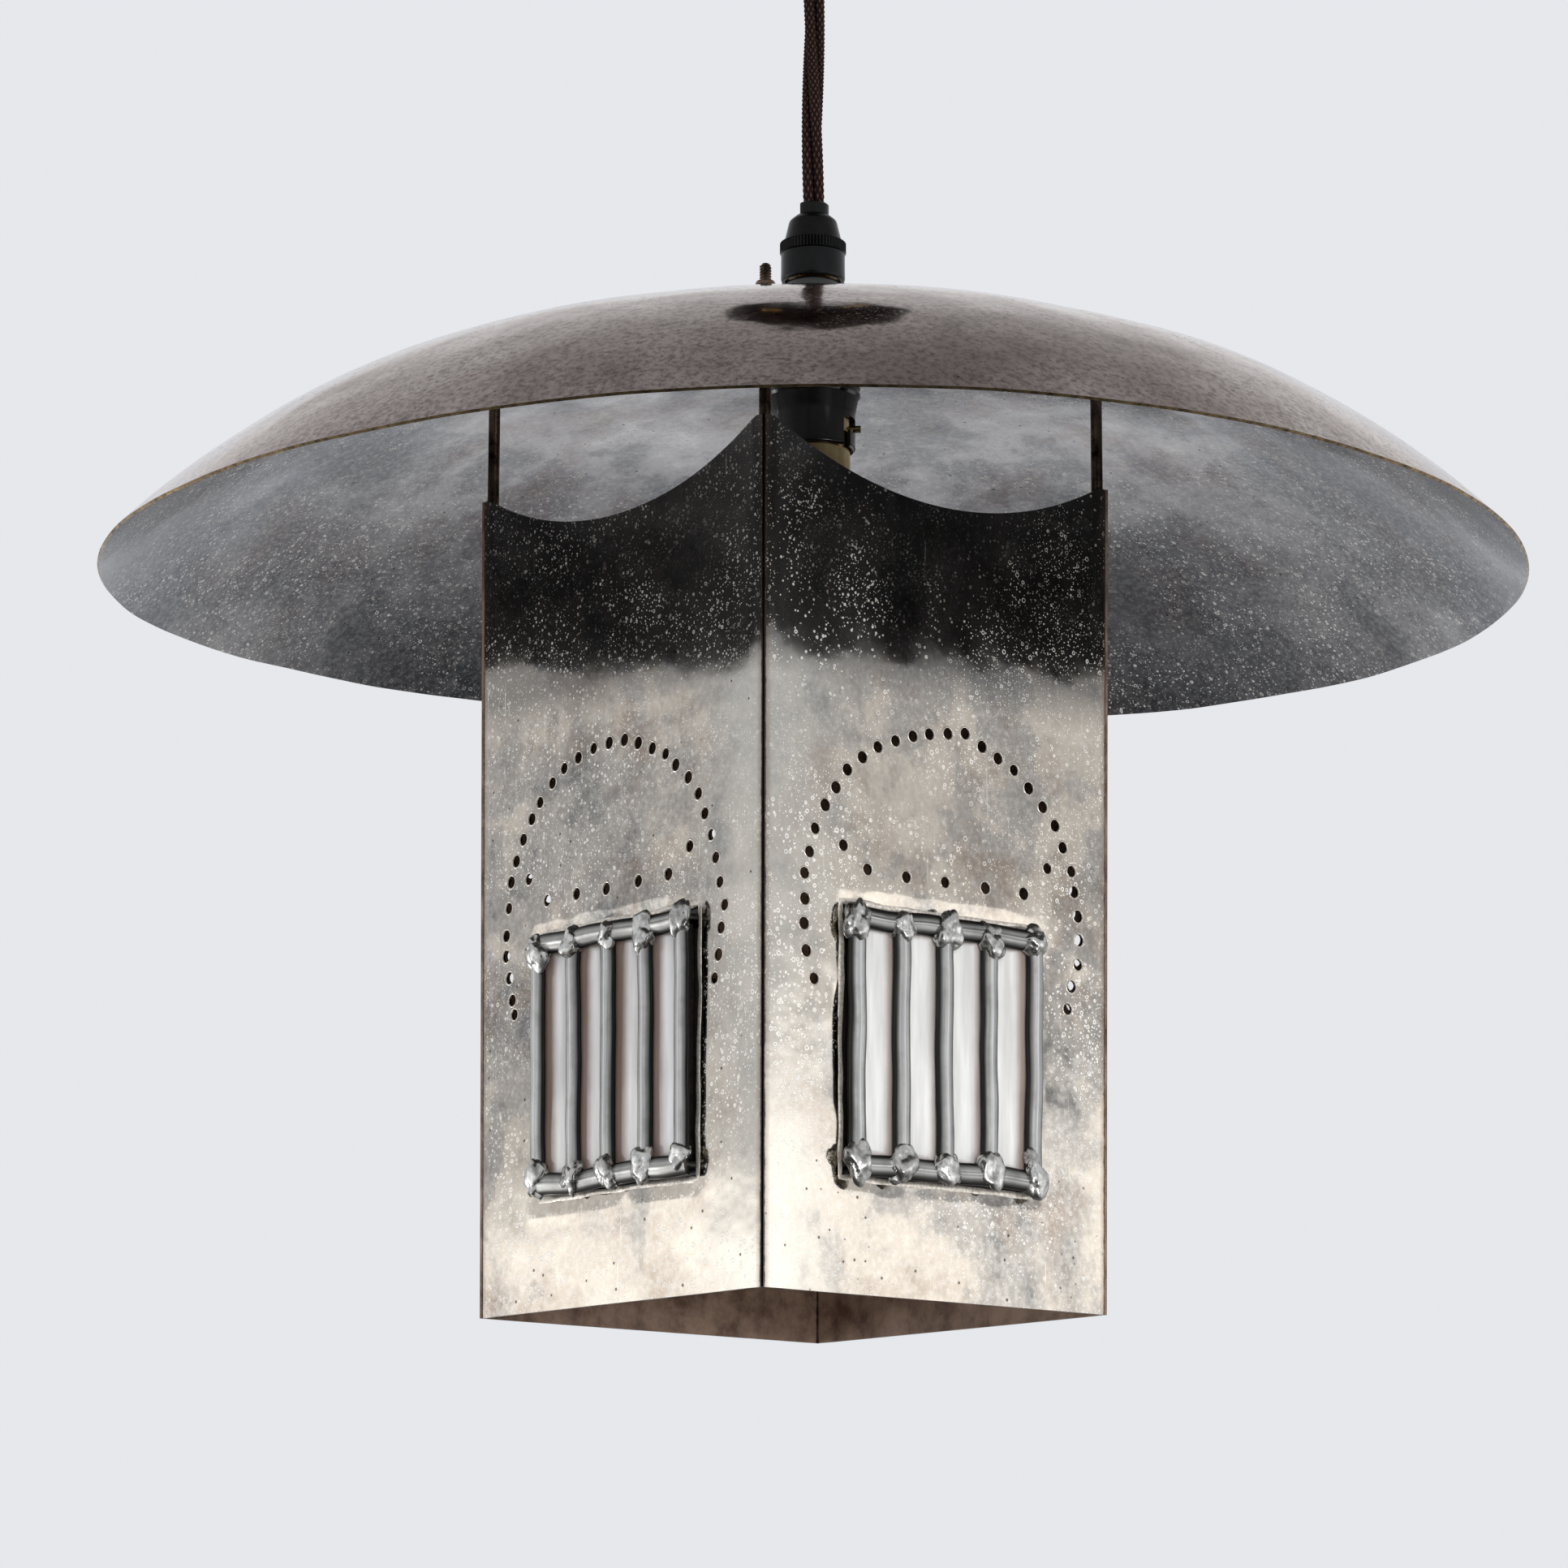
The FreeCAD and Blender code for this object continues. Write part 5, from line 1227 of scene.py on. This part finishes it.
class LANTERN_OT_lampholder(bpy.types.Operator):
    """Lampholder: cap, threaded barrel with its bayonet slots, and shade ring"""

    bl_idname = "lantern.lampholder"
    bl_label = "Lampholder"

    def execute(self, context):
        black = "holder_phenolic"
        low, high = mm_box("lampholder_barrel")
        mouth, top = low.z, high.z
        thread_foot = SHADE_TOP - 12.5
        taper_foot = thread_foot - 5.5
        bore, sleeve, thread = 11.35, 12.5, 14.0
        outline = soften([
            (bore, mouth + 0.3), (sleeve - 0.5, mouth, 0.25), (sleeve + 0.1, mouth + 0.6, 0.3),
            (sleeve, mouth + 1.4, 0.3), (sleeve, taper_foot, 0.8),
            (thread - 0.5, thread_foot - 0.4, 0.4)])
        outline += stepped(thread, thread_foot, top - 0.3, 0.2)
        outline += [(thread - 0.4, top), (12.45, top), (12.45, SHADE_TOP - 8.0),
                    (bore, SHADE_TOP - 8.0)]
        bm = bmesh.new()
        turn(bm, outline, 120)
        settle(bm)
        shape = threaded(thread_foot + 0.1, top - 0.2, 13.2, 1.9, 0.55)
        for vertex in bm.verts:
            vertex.co = shape(vertex.co)
        barrel = new_object("holder_barrel", bm, black)
        slot_top, slot_foot = PIN_HEIGHT + 2.75, PIN_HEIGHT - 1.15
        cut_out(barrel, self.entry_legs(mouth, slot_top))
        cut_out(barrel, self.lock_legs(slot_foot, slot_top))
        dress(barrel, "lantern", "lampholder_barrel", 35.0)
        low, high = mm_box("lampholder_cap")
        foot, top = low.z, high.z
        outline = [(14.05, foot), (18.0, foot, 0.4), (18.0, foot + 2.2, 0.3),
                   (17.5, foot + 2.6, 0.3), (17.5, foot + 7.6, 0.5), (16.9, foot + 9.6, 1.0),
                   (14.6, foot + 13.4, 2.0), (10.2, foot + 17.4, 2.4), (8.2, foot + 19.0, 0.8),
                   (7.8, top, 0.5), (5.05, top), (5.05, top - 7.0), (7.6, top - 7.0),
                   (14.05, SHADE_TOP + 10.0)]
        turned_piece("holder_cap", outline, "lantern", black, "lampholder_cap", 144,
                     ridged(foot + 2.9, foot + 7.2, 17.0, 48, 0.35))
        low, high = mm_box("shade_ring")
        turned_piece("ring_under_shade", [
            (14.05, low.z, 0.2), (17.9, low.z, 0.5), (18.5, low.z + 0.8, 0.2),
            (18.5, high.z - 0.5, 0.2), (18.0, high.z, 0.2), (14.05, high.z)], "lantern", black,
            "shade_ring", 240, ridged(low.z + 0.7, high.z - 0.4, 18.0, 60, 0.5))
        return {"FINISHED"}

    def entry_legs(self, mouth, slot_top):
        """Two upright slots with round tops, each an outline pushed out through the wall."""
        half = 1.65
        outline = [(-half, mouth - 6.0), (half, mouth - 6.0)]
        outline += [(half * math.cos(turn_by), slot_top - half + half * math.sin(turn_by))
                    for turn_by in (math.pi * step / 12 for step in range(13))]
        bm = bmesh.new()
        for number in range(2):
            corners = [bm.verts.new((9.5, across, up)) for across, up in outline]
            made = bmesh.ops.extrude_face_region(bm, geom=[bm.faces.new(corners)])
            new = [item for item in made["geom"] if isinstance(item, bmesh.types.BMVert)]
            bmesh.ops.translate(bm, verts=new, vec=(8.0, 0, 0))
            bmesh.ops.rotate(bm, verts=corners + new, cent=(0, 0, 0), matrix=Matrix.Rotation(
                math.radians(SLOT_START + 180.0 * number), 3, "Z"))
        bmesh.ops.recalc_face_normals(bm, faces=bm.faces)
        return new_object("slot_cutter", bm, "holder_phenolic")

    def lock_legs(self, slot_foot, slot_top):
        """Two slots that run round the wall from the tops of the upright ones."""
        inner, outer, steps = 9.5, 17.0, 24
        bm = bmesh.new()
        for number in range(2):
            edges_before = None
            for step in range(steps + 1):
                turn_by = math.radians(SLOT_START + 180.0 * number + SLOT_RUN * step / steps)
                way = Vector((math.cos(turn_by), math.sin(turn_by), 0.0))
                ring, edges = ring_of(bm, [
                    way * radius + Vector((0, 0, height)) for radius, height in (
                        (inner, slot_foot), (outer, slot_foot), (outer, slot_top),
                        (inner, slot_top))])
                if edges_before:
                    bmesh.ops.bridge_loops(bm, edges=edges_before + edges)
                else:
                    bm.faces.new(ring)
                edges_before = edges
            bm.faces.new(ring[::-1])
        bmesh.ops.recalc_face_normals(bm, faces=bm.faces)
        return new_object("lock_cutter", bm, "holder_phenolic")


class LANTERN_OT_cord_grip(bpy.types.Operator):
    """Cord grip: its cup and knurled cone"""

    bl_idname = "lantern.cord_grip"
    bl_label = "Cord grip"

    def execute(self, context):
        low, high = mm_box("grip_cup")
        turned_piece("grip_cup_turned", [
            (8.3, low.z), (9.2, low.z, 0.25), (9.5, low.z + 0.8, 0.2), (9.45, low.z + 3.0, 0.3),
            (9.45, high.z, 0.2), (3.6, high.z), (3.6, high.z - 1.8), (8.3, high.z - 1.8)],
            "cord_grip", "phenolic", "grip_cup")
        low, high = mm_box("grip_cone")
        foot, top = low.z, high.z
        turned_piece("grip_cone_turned", [
            (5.0, foot), (9.5, foot, 0.15), (9.8, foot + 0.25, 0.08), (9.8, foot + 1.2),
            (9.8, foot + 2.2), (9.8, foot + 3.2, 0.08), (9.5, foot + 3.45, 0.15),
            (8.55, foot + 3.6, 0.2), (7.05, foot + 10.0, 0.7), (5.0, top - 0.1, 0.3),
            (4.75, top), (4.75, foot + 9.0)],
            "cord_grip", "phenolic", "grip_cone", 240,
            ridged(foot + 0.2, foot + 3.3, 9.4, 60, 0.5))
        return {"FINISHED"}


class LANTERN_OT_flex(bpy.types.Operator):
    """Three-core twisted flex, held taut from the rose to the cord grip"""

    bl_idname = "lantern.flex"
    bl_label = "Flex"

    def execute(self, context):
        twist = context.scene.lantern.flex_twist
        foot, top = -0.1187, -0.0275
        route = [(0.0, 0.0, foot), (0.0, 0.0, -0.0880), (0.0, 0.0, -0.0580), (0.0, 0.0, top)]
        line = self.spline("flex_route", route, 0.0)
        path = [vertex.co.copy() for vertex in bpy.data.meshes.new_from_object(line).vertices]
        bpy.data.objects.remove(line)
        cores = bmesh.new()
        core, apart, steps = 0.00153, 1.15, 96
        for number in range(3):
            points = []
            for step in range(steps + 1):
                middle = self.along(path, step / steps)
                turn_by = math.tau * (number / 3 - (middle.z - foot) / twist) + 0.733
                points.append(middle + Vector((math.cos(turn_by), math.sin(turn_by), 0))
                              * core * apart)
            strand = self.spline("core_%d" % number, points, core)
            mesh = bpy.data.meshes.new_from_object(strand)
            self.mark_braid(mesh)
            cores.from_mesh(mesh)
            bpy.data.meshes.remove(mesh)
            bpy.data.objects.remove(strand)
        bmesh.ops.recalc_face_normals(cores, faces=cores.faces)
        flex = new_object("flex", cores, "braid")
        # Painted shade between the cores: one where they touch, nought on their outsides
        core_contact_shade = flex.data.attributes.new("core_contact_shade", "FLOAT", "POINT")
        for place, vertex in zip(core_contact_shade.data, flex.data.vertices):
            place.value = 1 - smooth_step(vertex.co.xy.length, core * apart, core * 1.65)
        for item in flex.data.polygons:
            item.use_smooth = True
        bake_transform(flex, "flex", "cord_grip", start=(0, 0, -0.1090), end=(0, 0, -0.1180))
        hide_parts("flex_cord")
        return {"FINISHED"}

    def spline(self, name, points, thickness):
        """A smooth curve near these points, as a tube when it has a thickness."""
        curve = bpy.data.curves.new(name, "CURVE")
        curve.dimensions = "3D"
        line = curve.splines.new("NURBS")
        line.points.add(len(points) - 1)
        for slot, place in zip(line.points, points):
            slot.co = (*place, 1.0)
        line.order_u = 3
        line.use_endpoint_u = True
        line.resolution_u = 4
        curve.bevel_depth = thickness
        curve.bevel_resolution = CORE_SIDES // 2 - 2
        curve.use_fill_caps = thickness > 0
        holder = bpy.data.objects.new(name, curve)
        bpy.context.scene.collection.objects.link(holder)
        bpy.context.view_layer.update()
        return holder

    def along(self, path, share):
        """The place at this share of the way along a path."""
        place = share * (len(path) - 1)
        index = min(int(place), len(path) - 2)
        return path[index].lerp(path[index + 1], place - index)

    def mark_braid(self, mesh):
        """Map a core, times round it and millimetres along it, and raise its weave."""
        layer = mesh.uv_layers.new(name="braid")
        rings = len(mesh.vertices) // CORE_SIDES
        for face in mesh.polygons:
            rounds = [mesh.loops[index].vertex_index % CORE_SIDES for index in face.loop_indices]
            wraps = max(rounds) - min(rounds) > CORE_SIDES / 2
            for index, around in zip(face.loop_indices, rounds):
                number = mesh.loops[index].vertex_index // CORE_SIDES
                if wraps and around < CORE_SIDES / 2:
                    around += CORE_SIDES
                layer.data[index].uv = (around / CORE_SIDES, number / rings * FLEX_LENGTH)
        normals = [vertex.normal.copy() for vertex in mesh.vertices]
        for number, vertex in enumerate(mesh.vertices):
            around = number % CORE_SIDES / CORE_SIDES * BRAID_THREADS
            along = number // CORE_SIDES / rings * FLEX_LENGTH / BRAID_LAY
            weave = math.cos(math.tau * (around + along)) * math.cos(math.tau * (around - along))
            vertex.co += normals[number] * BRAID_RISE * (weave - 0.2)


class LANTERN_OT_rose(bpy.types.Operator):
    """Ceiling rose: its cover and the screws that hold it"""

    bl_idname = "lantern.rose"
    bl_label = "Ceiling rose"

    def execute(self, context):
        low, high = mm_box("rose_cover")
        foot, rim = low.z, high.z
        reach = 20.0
        bm = bmesh.new()
        turn(bm, soften([
            (38.0, rim, 0.3), (35.8, rim), (35.8, foot + 13.2), (25.2, foot + 2.6, 0.6),
            (4.6, foot + 2.6), (4.6, foot + 0.5, 0.3), (5.4, foot, 0.3), (14.0, foot),
            (14.6, foot + 0.4, 0.2), (15.6, foot + 0.4, 0.2), (16.2, foot, 0.2), (25.0, foot, 3.0),
            (32.5, foot + 3.0, 3.5), (36.2, foot + 10.0, 2.0), (36.4, foot + 11.4, 0.3),
            (37.2, foot + 12.0, 0.3), (38.0, foot + 13.0, 0.4)]), 144)
        settle(bm)
        cover = new_object("rose_cover_moulded", bm, "rose_phenolic")
        drill = bmesh.new()
        for side in (-1, 1):
            bmesh.ops.create_cone(drill, cap_ends=True, segments=32, radius1=2.2, radius2=2.2,
                                  depth=12.0, matrix=Matrix.Translation((0, reach * side, foot)))
        cut_out(cover, new_object("rose_drill", drill, "rose_phenolic"))
        dress(cover, "rose", "rose_cover", 35.0)
        heads = bmesh.new()
        low, high = mm_box("rose_cover_screws")
        for side in (-1, 1):
            screw = bmesh.new()
            turn(screw, soften([
                (0.0, low.z), (1.8, low.z, 0.3), (3.4, foot - 0.1, 0.5), (3.3, foot), (1.9, foot),
                (1.9, high.z), (0.0, high.z)]), 40, False)
            settle(screw)
            bmesh.ops.translate(screw, verts=screw.verts, vec=(0, reach * side, 0))
            blank = new_object("rose_screw_blank", screw)
            slot = bmesh.new()
            bmesh.ops.create_cube(slot, size=1.0)
            bmesh.ops.scale(slot, vec=(9.0, 0.8, 1.4), verts=slot.verts)
            bmesh.ops.rotate(slot, verts=slot.verts, matrix=Matrix.Rotation(0.5 * side, 3, "Z"))
            bmesh.ops.translate(slot, verts=slot.verts, vec=(0, reach * side, low.z - 0.05))
            cut_out(blank, new_object("rose_slot", slot))
            heads.from_mesh(blank.data)
            bpy.data.objects.remove(blank)
        dress(new_object("rose_screws", heads, "bright_brass"), "rose", "rose_cover_screws",
              35.0)
        return {"FINISHED"}


class LANTERN_OT_lamp(bpy.types.Operator):
    """The lamp: its glass bulb and brass cap"""

    bl_idname = "lantern.lamp"
    bl_label = "Lamp"

    def execute(self, context):
        neck_top = mm_box("lamp_glass")[1].z
        neck, bulb, curve, wall = 10.3, 30.0, 45.0, 0.7
        curve_z = neck_top - 5.0
        fall = math.sqrt((bulb + curve) ** 2 - (neck + curve) ** 2)
        middle = curve_z - fall
        meet = math.atan2(fall, neck + curve)
        outer = [(neck, neck_top), (neck, curve_z)]
        outer += [(neck + curve - curve * math.cos(meet * n / 12),
                   curve_z - curve * math.sin(meet * n / 12)) for n in range(1, 13)]
        outer += [(bulb * math.cos(meet - (meet + math.pi / 2) * n / 28),
                   middle + bulb * math.sin(meet - (meet + math.pi / 2) * n / 28))
                  for n in range(1, 29)]
        # The wall is as thick as its share of the bulb's radius, and whole where it meets the axis
        inner = [(max(radius - wall * max(0.35, radius / bulb), 0.0),
                  height + (wall if radius < 1 else 0.0)) for radius, height in outer]
        bm = bmesh.new()
        turn(bm, outer + inner[::-1], 72)
        settle(bm)
        dress(new_object("lamp_bulb", bm, "lamp_glass"), "lamp", "lamp_glass")
        low, high = mm_box("lamp_cap")
        foot, top = low.z, high.z
        turned_piece("lamp_cap_drawn", [
            (10.5, foot), (11.0, foot, 0.15), (11.0, foot + 0.8, 0.1), (10.7, foot + 1.1, 0.1),
            (11.0, foot + 1.5, 0.1), (11.0, top - 1.4, 0.6), (10.4, top - 0.2, 0.4), (10.0, top),
            (10.0, top - 0.5), (10.5, top - 1.2)],
            "lamp", "lamp_brass", "lamp_cap")
        return {"FINISHED"}


class LANTERN_OT_small_parts(bpy.types.Operator):
    """Give the carried-over parts their finishes"""

    bl_idname = "lantern.small_parts"
    bl_label = "Small parts"

    def execute(self, context):
        plan = {
            "phenolic": ("grip_jaw",),
            "rose_phenolic": ("rose_backplate",),
            "porcelain": ("rose_terminal_block", "contact_block"),
            "bright_brass": ("rose_terminal_screws", "terminal_screws", "contact_plungers"),
            "old_brass": ("grip_insert", "entry_nipple"),
            "core": ("holder_cores",),
            "spring": ("plunger_springs",),
            "solder": ("lamp_contacts",),
            "lamp_brass": ("lamp_pins",),
            "dark_glass": ("lamp_insulator",),
            "lamp_glass": ("lamp_stem",),
            "wire": ("lamp_filament", "filament_supports"),
            "braid": ("rose_flex_end", "grip_flex_end"),
        }
        for finish, names in plan.items():
            for name in names:
                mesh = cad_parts[name].data
                mesh.materials.clear()
                mesh.materials.append(finishes[finish])
        return {"FINISHED"}


class LANTERN_OT_stage(bpy.types.Operator):
    """Floor, background, lamps and camera"""

    bl_idname = "lantern.stage"
    bl_label = "Stage"

    def execute(self, context):
        scene = context.scene
        scene.view_settings.view_transform = "Standard"
        pale = scene.lantern.background
        self.make_world(scene, pale)
        self.make_floor(pale)
        self.make_card("dark_floor_card", -1.29, 2.6, (
            (0.0, 0.035), (0.2, 0.10), (0.42, 0.30), (0.75, 0.62), (1.0, 0.85)))
        self.make_card("ceiling_card", 1.5, 3.4, ((0.0, 0.24), (0.4, 0.40), (1.0, 0.85)))
        self.make_card("dark_front_card", 3.0, 1.3, ((0.0, 0.03), (0.75, 0.06), (1.0, 0.5)), True)
        self.add_lamp("left_panel", (-2.2, -2.0, -0.62), (0, 0, -0.45), 2.4, 1.0, 6.2)
        self.add_lamp("right_panel", (2.2, 1.9, -0.55), (0, 0, -0.45), 2.4, 1.1, 7.1)
        self.add_lamp("left_strip", (-2.1, -1.07, -1.0), (0, 0, -0.25), 0.3, 0.5, 5.0)
        self.add_lamp("right_strip", (2.3, 0.0, -1.0), (0, 0, -0.25), 0.3, 0.5, 6.0)
        self.add_lamp("front_fill", (2.3, -1.2, -0.1), (0, 0, -0.35), 1.5, 1.5, 36.0, False)
        self.add_lamp("under_fill", (0.3, -0.3, -1.25), (0, 0, -0.4), 1.0, 1.0, 6.0, False)
        data = bpy.data.cameras.new("camera")
        camera = bpy.data.objects.new("camera", data)
        scene.collection.objects.link(camera)
        data.sensor_width = 36.0
        data.lens = 115.5
        data.clip_end = 50.0
        camera.location = (1.09290, -0.92120, -0.57345)
        aim = (Matrix.Rotation(math.radians(VIEW_TURN), 4, "Z")
               @ Matrix.Rotation(math.radians(90 + 11.21), 4, "X")
               @ Matrix.Rotation(math.radians(0.148), 4, "Z"))
        camera.rotation_euler = aim.to_euler()
        scene.camera = camera
        return {"FINISHED"}

    def make_world(self, scene, pale):
        world = bpy.data.worlds.new("pale studio")
        scene.world = world
        world.use_nodes = True
        tree = world.node_tree
        tree.nodes.clear()
        paper = add(tree, "Background", {"Color": tuple(pale), "Strength": 1.0})[0]
        light = add(tree, "Background", {"Color": linear("F2F4F8"), "Strength": 0.55})[0]
        both = add(tree, "MixShader", {0: self.seen_rays(tree), 1: light, 2: paper})[0]
        add(tree, "OutputWorld", {"Surface": both})

    def seen_rays(self, tree):
        """One for rays that show a surface straight, mirrored or through glass, else nought."""
        rays = add(tree, "LightPath")
        bent = add(tree, "Math", {0: rays["Is Glossy Ray"], 1: rays["Is Transmission Ray"]},
                   operation="MAXIMUM")[0]
        return add(tree, "Math", {0: rays["Is Camera Ray"], 1: bent}, operation="MAXIMUM")[0]

    def make_floor(self, pale):
        bm = bmesh.new()
        bmesh.ops.create_grid(bm, x_segments=4, y_segments=4, size=12.0)
        bmesh.ops.translate(bm, verts=bm.verts, vec=(0, 0, -2.4))
        floor = new_object("floor", bm)
        material, tree, shader = new_material("pale paper floor")
        colour = patches(tree, object_space(tree), 40.0, (
            (0.2, linear("E2E4E8")), (0.8, linear("E8EAEE"))), 2.0)
        shown = add(tree, "Mix", {0: self.seen_rays(tree), 6: linear("000000"), 7: tuple(pale)},
                    data_type="RGBA")[2]
        join(tree, shader, {"Base Color": laid_over(tree, colour, (0.85, "000000")),
                            "Roughness": 0.9, "Specular IOR Level": 0.0,
                            "Emission Color": shown, "Emission Strength": 0.9})
        floor.data.materials.append(material)

    def make_card(self, name, height, reach, stops, upright=False):
        """A card that only reflections and soft light see, dark in its middle and pale outside.

        It lies flat at a height, or stands at that distance behind the camera.
        """
        bm = bmesh.new()
        bmesh.ops.create_circle(bm, cap_ends=True, segments=64, radius=reach)
        bmesh.ops.translate(bm, verts=bm.verts, vec=(0, 0, height))
        card = new_object(name, bm)
        card.visible_camera = False
        middle = Vector((0.5, -0.42, 0)) if height < 0 else Vector((0, 0, 0))
        if upright:
            turn_by = math.radians(VIEW_TURN)
            middle = Vector((math.sin(turn_by), -math.cos(turn_by), 0))
            middle = middle * height + Vector((0, 0, -0.5))
            stand = middle.to_track_quat("Z", "Y").to_matrix().to_4x4()
            card.data.transform(Matrix.Translation((0, 0, -height)))
            card.data.transform(Matrix.Translation(middle) @ stand)
        material, tree, shader = new_material(name)
        parts = add(tree, "SeparateXYZ", {"Vector": object_space(tree)})
        away = add(tree, "CombineXYZ", {
            axis: add(tree, "Math", {0: parts[axis], 1: middle[index]}, operation="SUBTRACT")[0]
            for index, axis in enumerate("XYZ" if upright else "XY")})[0]
        out = add(tree, "VectorMath", {0: away}, operation="LENGTH")["Value"]
        share = add(tree, "Math", {0: out, 1: reach}, operation="DIVIDE")[0]
        glow = add(tree, "ValToRGB", {"Fac": share}, stops)[0]
        join(tree, shader, {"Base Color": linear("000000"), "Specular IOR Level": 0.0,
                            "Emission Color": glow, "Emission Strength": 1.0})
        card.data.materials.append(material)

    def add_lamp(self, name, place, target, wide, tall, power, mirrored=True):
        data = bpy.data.lights.new(name, "AREA")
        data.shape = "RECTANGLE"
        data.size, data.size_y = wide, tall
        data.energy = power
        lamp = bpy.data.objects.new(name, data)
        bpy.context.scene.collection.objects.link(lamp)
        lamp.visible_glossy = mirrored
        lamp.visible_camera = False
        lamp.location = place
        lamp.rotation_euler = (Vector(target) - Vector(place)).to_track_quat("-Z", "Y").to_euler()


class LANTERN_PT_panel(bpy.types.Panel):
    """Settings and operators of the lantern"""

    bl_label = "Lantern"
    bl_idname = "LANTERN_PT_panel"
    bl_space_type = "VIEW_3D"
    bl_region_type = "UI"
    bl_category = "Lantern"

    def draw(self, context):
        settings = context.scene.lantern
        for name in ("sheet", "rim_warp", "came_width", "flex_twist", "background"):
            self.layout.prop(settings, name)
        for operator in OPERATORS:
            self.layout.operator(operator.bl_idname)


OPERATORS = (
    LANTERN_OT_finishes, LANTERN_OT_flex, LANTERN_OT_shade, LANTERN_OT_body, LANTERN_OT_windows,
    LANTERN_OT_rods, LANTERN_OT_lampholder, LANTERN_OT_cord_grip, LANTERN_OT_rose,
    LANTERN_OT_lamp, LANTERN_OT_small_parts, LANTERN_OT_stage,
)


def register():
    bpy.utils.register_class(LanternSettings)
    bpy.types.Scene.lantern = bpy.props.PointerProperty(type=LanternSettings)
    for item in OPERATORS + (LANTERN_PT_panel,):
        bpy.utils.register_class(item)


def unregister():
    for item in reversed(OPERATORS + (LANTERN_PT_panel,)):
        bpy.utils.unregister_class(item)
    del bpy.types.Scene.lantern
    bpy.utils.unregister_class(LanternSettings)


def main():
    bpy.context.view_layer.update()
    register()
    for operator in OPERATORS:
        group, name = operator.bl_idname.split(".")
        getattr(getattr(bpy.ops, group), name)()


if __name__ == "__main__":
    main()
